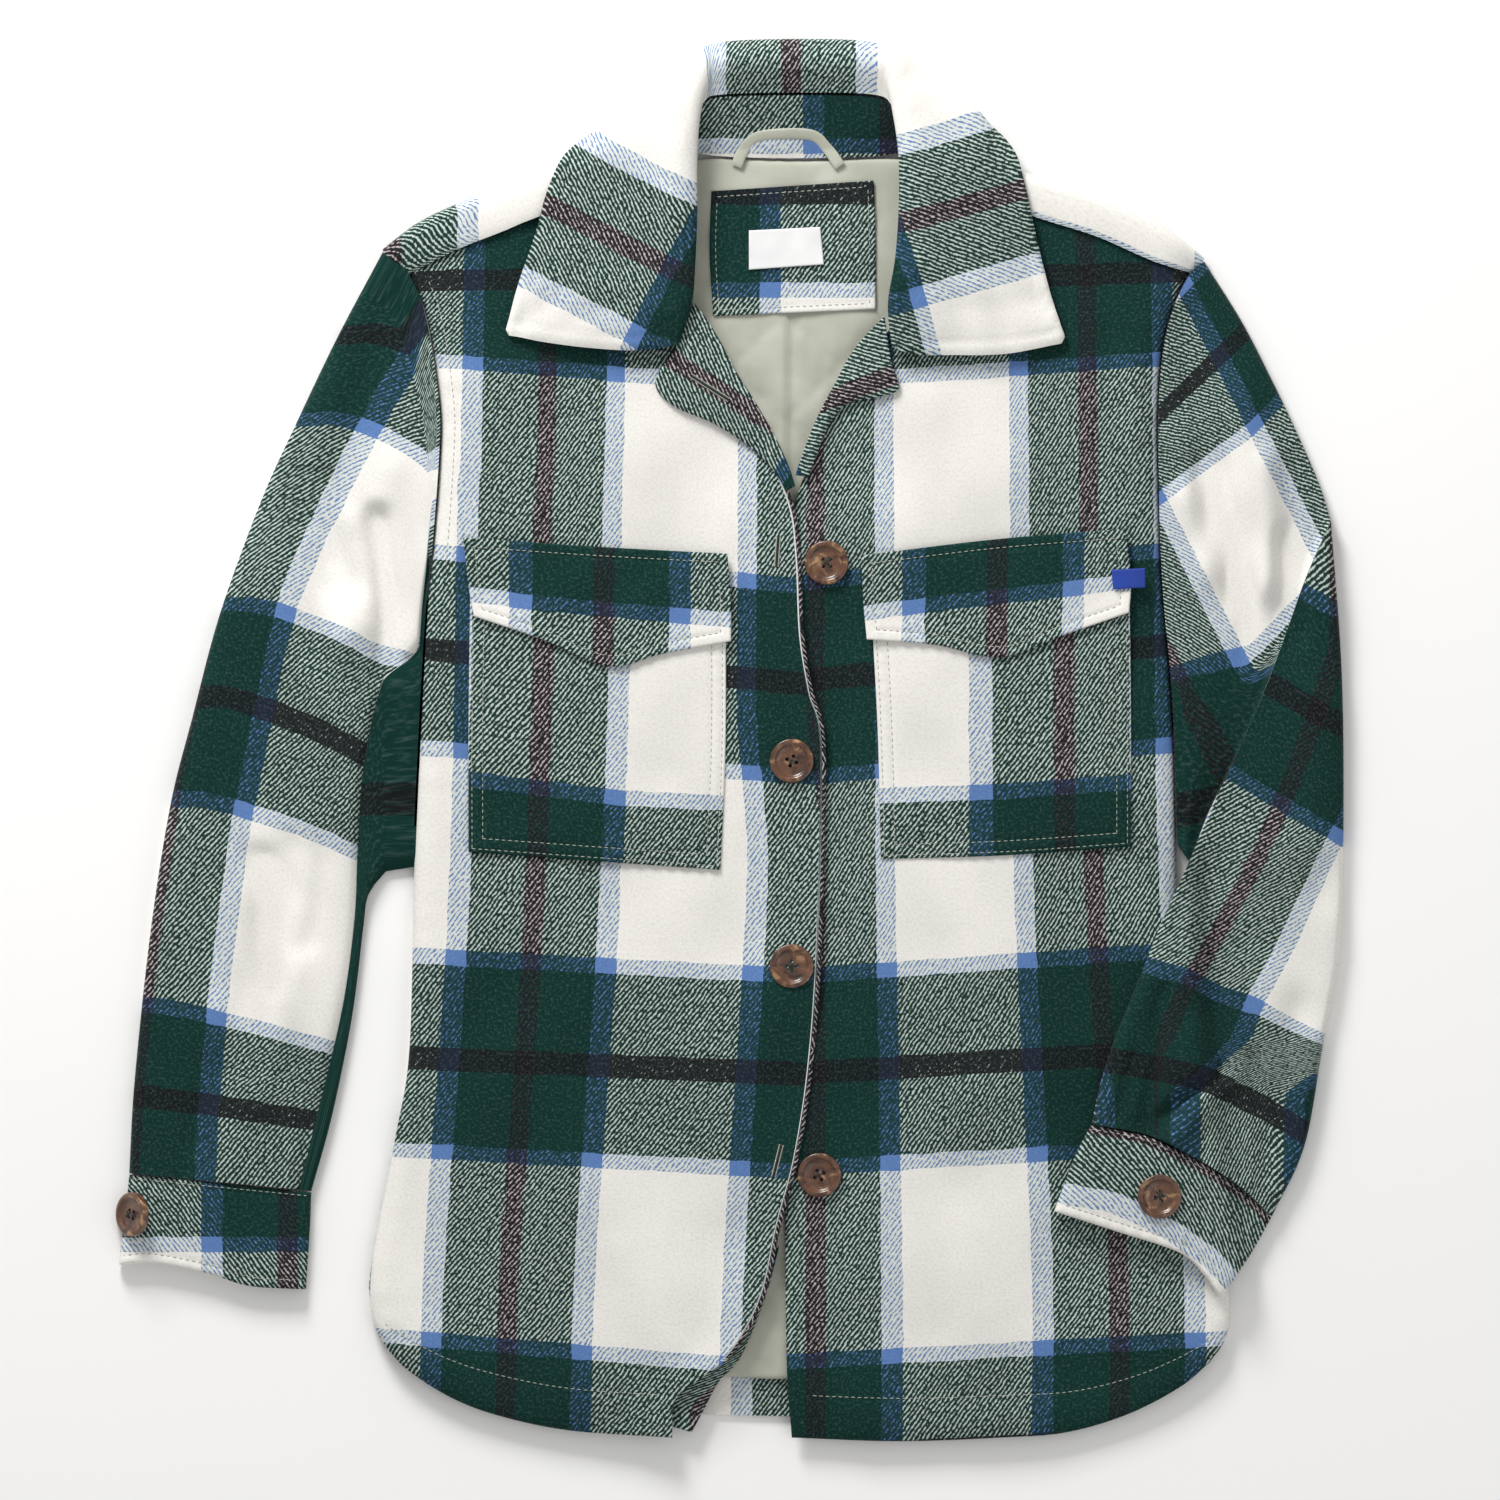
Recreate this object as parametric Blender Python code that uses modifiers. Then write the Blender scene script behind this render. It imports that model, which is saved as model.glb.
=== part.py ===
"""A brushed twill shirt jacket, laid flat on its back with its front up.

It is in metres with +Z up: the floor is Z = 0, +Y runs to the collar and +X to the wearer's left
sleeve. The origin is on the floor under the middle of the whole outline. Right and left are the
wearer's, so the right front is at -X. Tables are in millimetres and are scaled when a mesh is made.
"""

import math

import bmesh
import bpy
import numpy as np
from mathutils import Euler, Matrix, Vector

MM = 0.001

# The middle of the whole outline in the tables' own x and y, which becomes the origin.
MIDDLE = (-1.33, 0.59)

# Cloth: each wall, and the gap that is left at a seam and between layers.
GAP = 0.3
LAYER_GAP = 0.5
BACK_WALL = 2.0
LINING_WALL = 3.0
QUILT_PUFF = 1.0
QUILT_PITCH = 60.0
FRONT_WALL = 3.0
SLEEVE_WALL = 3.0
CUFF_WALL = 2.8
COLLAR_WALL = 3.0
STAND_WALL = 2.4
FACING_WALL = 2.4
POCKET_WALL = 1.8
TRIM_WALL = 1.0

# Heights over the floor of the upper side of each layer.
BODY_TOP = 12.0
EDGE_TOP = BACK_WALL + GAP + FRONT_WALL
LINING_UNDER = BACK_WALL + GAP
LINING_TOP = LINING_UNDER + LINING_WALL
WRAP_TOP = 13.5
SIDE_ROUND = 13.0
HEM_ROUND = 26.0
FOREARM_SINK = 2.0

# Sleeves and cuffs are flattened tubes: their height, their low one at an edge or a fold, the
# reach of their rounded edges, and the most room that is left inside.
SLEEVE_HEIGHT = 10.0
FOREARM_HEIGHT = 10.2
CREASE_HEIGHT = 12.6
LOW_HEIGHT = 2 * SLEEVE_WALL + 0.5
CUFF_HEIGHT = 9.0
TUBE_ROUND = 11.0
TUBE_ROOM = 3.6
TUBE_INSET = 4.6

# The two fronts lap at the middle, and the right one rises over the left one's edge.
LAP_START = 8.0
LAP_END = 76.0
LAP_RUN = 18.0
LAP_SHIFT = 1.85
CURL_LIFT = 3.0
CURL_REACH = 30.0

BUTTON_RADIUS = 12.3
BUTTON_HEIGHT = 4.2
HOLE_RADIUS = 1.1
HOLE_OFFSET = 2.7

COLOURS = {
    "shell": ((0.03, 0.10, 0.08), 0.9),
    "lining": ((0.80, 0.81, 0.72), 0.55),
    "label": ((0.88, 0.88, 0.88), 0.7),
    "tab": ((0.01, 0.09, 0.55), 0.6),
    "button": ((0.18, 0.09, 0.04), 0.35),
}

# Rails: the edges of each piece seen from above, as x, y. Sides and edges run from the hem up,
# and hems, shoulders and seams run from -X to +X.
SIDE_RIGHT = [
    (-192, -340), (-199, -328), (-202, -312), (-200, -285), (-188, -221), (-180, -170),
    (-177, -60), (-171, 60), (-167, 105), (-163, 160), (-163, 190), (-170, 237), (-180, 263),
]
HEM_RIGHT = [(-192, -340), (-180, -352), (-156, -367), (-129, -377), (-90, -385), (-33, -389)]
EDGE_RIGHT = [
    (-33, -389), (-31, -368), (-14, -354), (3, -340), (19, -310), (28, -270), (38, -232),
    (46, -180), (51, -110), (53, -3), (46, 29), (41, 61), (39, 105), (34, 137), (14, 179),
    (-1, 203), (-14, 226), (-29, 247), (-37, 280), (-41, 315),
]
SHOULDER_RIGHT = [(-180, 263), (-152, 277), (-129, 286), (-104, 296), (-41, 315)]
EDGE_LEFT = [
    (34, -389), (31, -340), (30, -200), (30, 0), (31, 80), (35, 128), (41, 150), (50, 173),
    (62, 197), (76, 218), (93, 236), (104, 252), (110, 280), (113, 315),
]
HEM_LEFT = [(34, -389), (94, -391), (151, -389), (188, -386), (222, -376), (251, -361), (268, -347)]
SIDE_LEFT = [
    (268, -347), (277, -333), (279, -312), (271, -267), (259, -200), (251, -122), (249, -57),
    (247, 20), (241, 100), (239, 160), (239, 190), (242, 223), (248, 246), (257, 264),
]
SHOULDER_LEFT = [(113, 315), (169, 295), (204, 284), (236, 270), (257, 264)]

BACK_HEM = [
    (-191, -335), (-170, -351), (-140, -363), (-100, -371), (-40, -375), (38, -377),
    (110, -376), (180, -371), (225, -361), (250, -352), (267, -341),
]
# The back's upper edge, right shoulder fold, neck, then left shoulder fold.
BACK_FOLD_RIGHT = [(-194, 275), (-171, 292), (-129, 310), (-104, 320), (-46, 339)]
BACK_NECK = [(-46, 333), (-20, 327), (38, 325), (96, 327), (118, 333)]
BACK_FOLD_LEFT = [(118, 337), (158, 320), (178, 314), (222, 299), (244, 286), (264, 270)]

LINING_HEM = [(-178, -326), (-100, -350), (0, -355), (40, -356), (150, -352), (256, -322)]
LINING_TOP_EDGE = [(-152, 250), (-60, 306), (-25, 326), (38, 326), (100, 326), (135, 308), (226, 250)]
LINING_RIGHT = [(-178, -326), (-163, -200), (-160, 0), (-148, 150), (-152, 250)]
LINING_LEFT = [(256, -322), (240, -200), (233, 0), (226, 150), (226, 250)]

# Sleeves, as rows from the cuff seam up to the armhole. The fold rail is the pressed edge where
# the right sleeve's upper layer ends, and what lies beyond it is the low layer under the arm.
SLEEVE_RIGHT_ROWS = {
    "outer": [(-337, -241), (-334, -189), (-325, -105), (-314, -35), (-302, 13), (-286, 73),
              (-263, 136), (-243, 180), (-220, 228), (-195, 275)],
    "fold": [(-242, -250), (-231, -205), (-218, -150), (-211, -100), (-209, -60), (-206, -15),
             (-198, 25), (-188, 55), (-178, 82), (-168, 104)],
    "inner": [(-235, -251), (-223, -207), (-212, -152), (-206, -104), (-204, -88), (-200, -80),
              (-195, -74), (-190, -68), (-184, -62), (-178, -56)],
}
ARMHOLE_RIGHT = [(-195.4, 273.6), (-190.8, 265.2), (-183.8, 257.8), (-172, 234), (-164, 190), (-164, 160), (-168, 104)]
UNDERARM_RIGHT = [(-168, 104), (-172, 60), (-176, 0), (-178, -56)]

# The left sleeve bends at the elbow, and its forearm lies over the side of the body. The crease
# is the upper edge of the forearm, which stands over the low layer of the upper arm.
FOREARM_INNER = [(202, -213), (207, -190), (215, -165), (226, -138), (238, -108), (248, -85), (257, -67)]
FOREARM_OUTER = [(303, -265), (321, -226), (331, -172), (341, -115), (343, -45), (342, 40), (336, 124)]
CUFF_SEAM_LEFT = [(202, -213), (235, -220), (265, -235), (286, -249), (303, -265)]
CREASE = [(257, -67), (267, -40), (277, -20), (288, 4), (300, 32), (312, 64), (322, 92), (336, 124)]
UPPER_INNER = [(257, -67), (250, -57)]
UPPER_OUTER = [(336, 124), (329, 146), (315, 178), (302, 205), (286, 236), (265, 269)]
ARMHOLE_LEFT = [
    (250, -57), (248, 20), (243, 80), (240, 130), (240, 190), (243, 223), (249, 246), (265, 269),
]

CUFF_RIGHT = {
    "low": [(-343, -292), (-324, -291), (-293, -297), (-270, -304), (-238, -306)],
    "high": [(-337, -241.6), (-286, -246.6), (-235, -251.6)],
    "left": [(-343, -292), (-339, -262), (-337, -241.6)],
    "right": [(-238, -306), (-236, -275), (-235, -251.6)],
}
CUFF_LEFT = {
    "low": [(181, -262), (215, -273), (251, -285), (265, -297), (275, -311)],
    "high": [(x - 0.5, y - 0.9) for x, y in CUFF_SEAM_LEFT],
    "left": [(181, -262), (192, -233), (201.5, -213.9)],
    "right": [(275, -311), (284, -297), (293, -283), (302.5, -265.9)],
}

# Collar sections from the right front end round the back neck to the left front end. Each has the
# stand's neck seam, the seam between stand and fall, the roll line, the crest, two points on the
# leaf and its outer edge. Behind the neck the leaf turns under and lies on the floor.
COLLAR = [
    # neck seam      fall seam       roll             crest            leaf             leaf             edge
    ((-31, 238, 13), (-36, 226, 15.4), (-31, 224, 17.4), (-40, 222, 18.6), (-62, 221, 18.2), (-95, 224, 17), (-125, 229, 15.8)),
    ((-29, 250, 13), (-31, 247, 16.6), (-24, 246, 20), (-33, 247, 23.4), (-58, 250, 21.6), (-88, 255, 18.6), (-117, 258, 15.8)),
    ((-36, 276, 13), (-28, 272, 17.4), (-22, 271, 21.6), (-31, 272, 25.4), (-54, 276, 22.8), (-82, 281, 19.2), (-108, 284, 15.8)),
    ((-39.5, 300, 13), (-27, 299, 17.4), (-21, 299, 22), (-30, 301, 26), (-50, 306, 23.4), (-76, 311, 20), (-100, 312, 18)),
    ((-40, 322, 14.2), (-26, 325, 17.6), (-21, 328, 22), (-28, 333, 26), (-45, 338, 23), (-66, 337, 20), (-88, 332, 13)),
    ((-37, 336, 8), (-23, 346, 16), (-19, 354, 21.4), (-25, 359, 24), (-40, 360, 20), (-56, 357, 11), (-58, 349, 3)),
    ((-23, 332, 4.6), (-16, 360, 15), (-13, 374, 20.4), (-16, 382, 20), (-26, 379, 10), (-30, 372, 1.6), (-31, 352, 0.4)),
    ((-4, 329, 4.6), (-4, 364, 15), (-5, 380, 20.6), (-7, 389, 15), (-8, 389, 7), (-7, 382, 0.5), (-5, 341, 0.2)),
    ((38, 328, 4.6), (38, 365, 15), (38, 381, 20.6), (38, 391, 15), (38, 391, 7), (38, 384, 0.5), (38, 340, 0.2)),
    ((79, 329, 4.6), (79, 364, 15), (80, 380, 20.6), (82, 389, 15), (83, 389, 7), (82, 382, 0.5), (79, 341, 0.2)),
    ((98, 332, 4.6), (91, 358, 15), (88, 374, 20.4), (93, 380, 20), (103, 378, 10), (107, 371, 1.6), (106, 352, 0.4)),
    ((109, 336, 8), (97, 344, 16), (93, 352, 21.4), (100, 357, 24), (116, 359, 20), (134, 356, 11), (137, 348, 3)),
    ((112, 322, 14.2), (101, 325, 17.6), (96, 328, 22), (103, 333, 26), (120, 337, 23), (140, 336, 20), (156, 332, 13)),
    ((111.5, 300, 13), (102, 299, 17.4), (96, 299, 22), (104, 301, 26), (124, 305, 23.4), (146, 310, 20), (163, 311, 18)),
    ((108.5, 276, 13), (100, 272, 17.4), (94, 271, 21.6), (103, 272, 25.4), (125, 276, 22.8), (149, 280, 19.2), (169, 284, 15.8)),
    ((102, 250, 13), (97, 247, 16.6), (90, 246, 20), (99, 247, 23.4), (124, 248, 21.6), (152, 250, 18.6), (177, 252, 15.8)),
    ((94, 238, 13), (98, 225, 15.4), (92, 222, 17.4), (101, 219, 18.6), (124, 218, 18.2), (156, 219, 17), (186, 225, 15.8)),
]

# The turned-back upper corners of the fronts, from the foot of the opening up.
LAPEL_RIGHT_FREE = [(31, 141), (24, 152), (10, 166), (-10, 179), (-31, 188), (-42, 199), (-39, 210), (-32, 218)]
LAPEL_RIGHT_ROLL = [(36, 144), (32, 156), (24, 173), (13, 192), (3, 208), (-6, 225), (-14, 238), (-21, 247)]
LAPEL_LEFT_ROLL = [(36, 150), (39, 159), (45, 175), (51, 188), (58, 201), (66, 216), (75, 228), (86, 239)]
LAPEL_LEFT_FREE = [(39, 149), (43, 160), (48, 173), (54, 185), (66, 192), (82, 195), (94, 200), (90, 213)]
LAPEL_ARCH = 2.0
LAPEL_FOOT = 9.0

# The facing of the right front, which shows below where its lower corner curls up.
FACING_OUTER = [(-22, -386), (-15, -373), (-7, -358), (4, -346), (13, -327), (21, -305), (27, -282)]
FACING_TUCK = 5.0
FACING_FOOT = 5.0

POCKET_RIGHT = {
    "low": [(-147, -61), (-78, -66), (-6, -71)],
    "high": [(-146, 92), (-78, 88), (-3, 84)],
    "left": [(-147, -61), (-147, 10), (-146, 92)],
    "right": [(-6, -71), (-3, 0), (-3, 84)],
}
POCKET_LEFT = {
    "low": [(84, -65), (151, -63), (224, -58)],
    "high": [(78, 84), (151, 90), (223, 96)],
    "left": [(84, -65), (82, 10), (78, 84)],
    "right": [(224, -58), (224, 20), (223, 96)],
}
FLAP_RIGHT = {
    "low": [(-144, 71), (-106, 58), (-69, 43), (-38, 50), (0, 57)],
    "high": [(-150, 115), (-76, 110), (-2, 106)],
    "left": [(-144, 71), (-147, 88), (-150, 115)],
    "right": [(0, 57), (0, 80), (-2, 106)],
}
FLAP_LEFT = {
    "low": [(76, 58), (114, 55), (152, 48), (188, 61), (223, 73)],
    "high": [(73, 105), (147, 114), (221, 120)],
    "left": [(76, 58), (74, 80), (73, 105)],
    "right": [(223, 73), (224, 92), (221, 120)],
}
FLAP_SEAM_DEPTH = 14.0

NECK_PATCH = {
    "low": [(-10, 239), (36, 241), (81, 243)],
    "high": [(-11, 309), (34, 312), (80, 315)],
    "left": [(-10, 239), (-12, 275), (-11, 309)],
    "right": [(81, 243), (81, 280), (80, 315)],
}
NECK_LABEL = {
    "low": [(10, 265), (52, 268)],
    "high": [(10, 287), (50, 289)],
    "left": [(10, 265), (10, 287)],
    "right": [(52, 268), (50, 289)],
}
HANG_LOOP = [(3, 323), (7, 332), (14, 339), (30, 341), (46, 340), (54, 333), (61, 323)]
HANG_LOOP_WIDTH = 6.5
POCKET_TAB = {
    "low": [(214, 86), (232, 87)],
    "high": [(213, 97), (232, 98)],
    "left": [(214, 86), (213, 97)],
    "right": [(232, 87), (232, 98)],
}

# Soft folds, each a straight ridge, or a trough where its height is below zero.
# x and y of its start, then of its end, height, half width
BODY_FOLDS = [
    (-70, 200, -52, 130, 1.2, 16),
    (110, 190, 104, 125, 1.2, 14),
    (211, 225, 216, 140, -1.3, 8),
    (62, 90, 64, 20, -1.6, 7),
    (62, -150, 68, -245, -2.0, 8),
    (120, -100, 100, -330, 1.0, 24),
    (-110, -110, -90, -340, 1.0, 26),
    (-40, -220, -62, -340, -1.0, 22),
]
RIGHT_SLEEVE_FOLDS = [
    (-200, 240, -232, 60, -3.0, 13),
    (-190, 150, -206, 70, 2.5, 10),
    (-214, 60, -228, -40, 2.2, 14),
    (-262, -70, -256, -130, -2.6, 8),
    (-254, -130, -236, -232, -4.2, 8),
    (-274, -90, -262, -220, 2.4, 12),
    (-300, 20, -318, -120, 1.4, 14),
]
LEFT_SLEEVE_FOLDS = [
    (256, 238, 266, 120, -3.4, 9),
    (285, 190, 297, 90, 3.0, 13),
    (270, 120, 280, 40, -2.0, 12),
    (222, -150, 212, -208, 2.2, 8),
    (243, -140, 232, -214, -3.4, 5),
    (262, -165, 250, -222, 2.4, 9),
    (300, -60, 292, -170, 2.0, 18),
    (318, -150, 296, -236, -2.2, 9),
]

# Where each button sits: x, y, the cloth it is sewn on, and its tilt about Y in degrees.
BUTTONS = {
    "button_1": (53.5, 101, "left_front", -4),
    "button_2": (34, -10, "right_front", 0),
    "button_3": (34, -125, "right_front", 0),
    "button_4": (49.5, -242, "left_front", -3),
    "button_cuff_left": (240, -254, "left_cuff", 2),
}
CUFF_BUTTON = (-335.3, -264, 11.1)
CUFF_BUTTON_TILT = -50


def smooth(t):
    """Rises softly from 0 to 1 as t does."""
    t = np.clip(t, 0, 1)
    return t * t * (3 - 2 * t)


def rise(distance, reach):
    """A quarter round: 0 at an edge, 1 from reach inwards."""
    share = np.clip(np.asarray(distance, float) / reach, 0, 1)
    return np.sqrt(1 - (1 - share) ** 2)


def curve(knots, at):
    """Points of a smooth curve through the knots, at these knot numbers."""
    knots = np.array(knots, float)
    padded = np.vstack([2 * knots[0] - knots[1], knots, 2 * knots[-1] - knots[-2]])
    first = np.clip(np.floor(at).astype(int), 0, len(knots) - 2)
    t = (np.asarray(at, float) - first)[:, None]
    a, b, c, d = (padded[first + k] for k in range(4))
    return 0.5 * (
        2 * b + (c - a) * t + (2 * a - 5 * b + 4 * c - d) * t**2 + (3 * b - a - 3 * c + d) * t**3
    )


def by_length(knots, shares):
    """Points of the curve through the knots, at these shares of its length."""
    at = np.linspace(0, len(knots) - 1, 24 * len(knots))
    fine = curve(knots, at)
    length = np.concatenate([[0], np.cumsum(np.linalg.norm(np.diff(fine, axis=0), axis=1))])
    return curve(knots, np.interp(np.asarray(shares) * length[-1], length, at))


def by_knot(knots, shares):
    """Points of the curve through the knots, where the knots stand at equal shares."""
    return curve(knots, np.asarray(shares) * (len(knots) - 1))


def patch(low, high, left, right, us, vs):
    """The plan between four sampled rails: rows from low to high, each from left to right."""
    u, v = np.asarray(us)[None, :, None], np.asarray(vs)[:, None, None]
    low, high, left, right = low[None], high[None], left[:, None], right[:, None]
    ruled = (1 - v) * low + v * high + (1 - u) * left + u * right
    corners = (
        (1 - u) * (1 - v) * low[:, :1] + u * (1 - v) * low[:, -1:]
        + (1 - u) * v * high[:, :1] + u * v * high[:, -1:]
    )
    return ruled - corners


def rail_patch(rails, us, vs):
    """The plan between the rails low, high, left and right."""
    return patch(
        by_length(rails["low"], us), by_length(rails["high"], us),
        by_length(rails["left"], vs), by_length(rails["right"], vs), us, vs,
    )


def reach_along(plan, axis, from_end=False):
    """How far each point lies from the first or the last one of its row (1) or column (0)."""
    steps = np.linalg.norm(np.diff(plan, axis=axis), axis=2)
    if from_end:
        steps = np.flip(steps, axis)
    total = np.cumsum(steps, axis)
    total = np.concatenate([np.zeros_like(np.take(total, [0], axis)), total], axis)
    return np.flip(total, axis) if from_end else total


def x_at(rail, y):
    """x of a rail that runs up, at each y."""
    line = by_length(rail, np.linspace(0, 1, 160))
    order = np.argsort(line[:, 1])
    return np.interp(y, line[order, 1], line[order, 0])


def fold_height(folds, x, y):
    """The height that these folds add at each place."""
    added = np.zeros_like(x)
    for x0, y0, x1, y1, height, half_width in folds:
        run = math.hypot(x1 - x0, y1 - y0)
        along = ((x - x0) * (x1 - x0) + (y - y0) * (y1 - y0)) / run
        across = ((x - x0) * (y1 - y0) - (y - y0) * (x1 - x0)) / run
        fade = smooth(1 + along / (2 * half_width)) * smooth(1 + (run - along) / (2 * half_width))
        added = added + height * fade * np.exp(-((across / half_width) ** 2))
    return added


def body_top(x, y):
    """Height of the upper side of the fronts, away from their edges and their lap."""
    under_forearm = smooth((x - 165) / 35) * smooth((-20 - y) / 50)
    return BODY_TOP - FOREARM_SINK * under_forearm + fold_height(BODY_FOLDS, x, y)


def right_top(x, y):
    """The right front, which rises over the left one's edge and curls up at its lower corner."""
    curl = smooth((x - x_at(EDGE_RIGHT, y) + CURL_REACH) / CURL_REACH) * smooth((-235 - y) / 60)
    return body_top(x, y) + LAP_SHIFT * smooth((x - LAP_START) / LAP_RUN) + CURL_LIFT * curl


def left_top(x, y):
    """The left front, which sinks under the right one's edge."""
    lowest = LINING_TOP + QUILT_PUFF + LAYER_GAP + FRONT_WALL
    return np.maximum(body_top(x, y) - LAP_SHIFT * smooth((LAP_END - x) / LAP_RUN), lowest)


def forearm_support(x, y):
    """Height of what the left forearm lies on: the floor, or the side of the body."""
    over = smooth((x_at(SIDE_LEFT, y) + 18 - x) / 12) * smooth((-50 - y) / 22)
    return (BODY_TOP - FOREARM_SINK + 1.2) * over


def with_height(plan, height):
    """Points from a plan and the heights over it."""
    return np.concatenate([plan, np.broadcast_to(height, plan.shape[:2])[:, :, None]], axis=2)


def grid_mesh(points, skip=None, walls=None):
    """A grid whose rows and columns stand at these points, without the faces that skip names."""
    rows, columns = points.shape[:2]
    mesh = bmesh.new()
    bmesh.ops.create_grid(mesh, x_segments=columns - 1, y_segments=rows - 1, size=0.5)
    if skip:
        left_out = []
        for face in mesh.faces:
            middle = face.calc_center_median()
            row = math.floor((middle.y + 0.5) * (rows - 1))
            column = math.floor((middle.x + 0.5) * (columns - 1))
            if skip(row, column):
                left_out.append(face)
        bmesh.ops.delete(mesh, geom=left_out, context="FACES")
    depth = mesh.verts.layers.float.new("wall")
    for vert in mesh.verts:
        row = round((vert.co.y + 0.5) * (rows - 1))
        column = round((vert.co.x + 0.5) * (columns - 1))
        vert.co = Vector(points[row, column]) * MM
        if walls is not None:
            vert[depth] = walls[row, column]
    return mesh


def material(name):
    """The plain finish of this name, made once."""
    if name in bpy.data.materials:
        return bpy.data.materials[name]
    made = bpy.data.materials.new(name)
    made.use_nodes = True
    colour, roughness = COLOURS[name]
    shader = made.node_tree.nodes["Principled BSDF"]
    shader.inputs["Base Color"].default_value = (*colour, 1)
    shader.inputs["Roughness"].default_value = roughness
    return made


def add_object(name, mesh, finish):
    """Puts a finished bmesh in the jacket's collection as a named object."""
    data = bpy.data.meshes.new(name)
    mesh.to_mesh(data)
    mesh.free()
    data.shade_smooth()
    data.materials.append(material(finish))
    made = bpy.data.objects.new(name, data)
    bpy.data.collections["shirt_jacket"].objects.link(made)
    return made


def laid_cloth(name, plan, top, wall, finish="shell", under=None):
    """Cloth that lies flat: its wall goes straight down from its upper side, or to a plain under."""
    top = np.broadcast_to(np.asarray(top, float), plan.shape[:2])
    walls = np.full(top.shape, float(wall)) if under is None else top - under
    mesh = grid_mesh(with_height(plan, top), walls=walls)
    made = bmesh.ops.extrude_face_region(mesh, geom=mesh.faces[:], use_keep_orig=True)
    depth = mesh.verts.layers.float["wall"]
    for vert in [item for item in made["geom"] if isinstance(item, bmesh.types.BMVert)]:
        vert.co.z -= vert[depth] * MM
    bmesh.ops.recalc_face_normals(mesh, faces=mesh.faces)
    return add_object(name, mesh, finish)


def turned_cloth(name, points, wall, faces_up=True, skip=None, finish="shell"):
    """Cloth that turns over: its outer side goes through the points, and its wall lies inside."""
    mesh = grid_mesh(points, skip)
    bmesh.ops.recalc_face_normals(mesh, faces=mesh.faces)
    if (sum(face.normal.z * face.calc_area() for face in mesh.faces) > 0) != faces_up:
        bmesh.ops.reverse_faces(mesh, faces=mesh.faces)
    made = add_object(name, mesh, finish)
    solid = made.modifiers.new("wall", "SOLIDIFY")
    solid.thickness = wall * MM
    solid.offset = -1
    return made


def tube_cloth(name, plan, height, wall, support=None, finish="shell"):
    """A flattened tube of cloth, open at both ends, whose rows cross it from edge to edge.

    height is the tube's own, over the support that it lies on. The ring of each row runs along its
    upper side, round its edge and back under it, and the same ring further in is its inside.
    """
    columns = plan.shape[1]
    back = list(range(columns - 2, 0, -2 if support is None else -1))
    edge = np.zeros(columns, bool)
    edge[[0, -1]] = True
    middle = (plan[:, :1] + plan[:, -1:]) / 2
    half = np.linalg.norm(plan[:, :1] - plan[:, -1:], axis=2, keepdims=True) / 2
    rings = []
    for inset, skin in ((0, 0), (TUBE_INSET, wall)):
        place = middle + (plan - middle) * (1 - inset / half)
        floor = np.zeros(place.shape[:2]) if support is None else support(place[:, :, 0], place[:, :, 1])
        upper = np.minimum(height, 2 * wall + TUBE_ROOM) - skin if skin else height
        upper = np.where(edge, LOW_HEIGHT / 2, upper)
        ring = np.concatenate([
            with_height(place, floor + upper), with_height(place[:, back], floor[:, back] + skin),
        ], axis=1)
        rings.append(np.concatenate([ring, ring[:, :1]], axis=1))
    outer, inner = rings
    mesh = grid_mesh(np.concatenate([outer, inner[::-1], outer[:1]]))
    bmesh.ops.remove_doubles(mesh, verts=mesh.verts, dist=0.001 * MM)
    bmesh.ops.recalc_face_normals(mesh, faces=mesh.faces)
    return add_object(name, mesh, finish)


ACROSS = [0, 0.03, 0.09, 0.19, 0.32, 0.5, 0.68, 0.81, 0.91, 0.97, 1]
ACROSS_LEFT = [0, 0.03, 0.08, 0.16, 0.24, 0.32, 0.41, 0.5, 0.59, 0.68, 0.76, 0.84, 0.92, 0.97, 1]


def edge_round(plan, top, low=LOW_HEIGHT):
    """A tube's height: low at both edges and up to the top from the round's reach inwards."""
    near = np.minimum(reach_along(plan, 1), reach_along(plan, 1, True))
    return low + (top - low) * rise(near, TUBE_ROUND)


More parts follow.
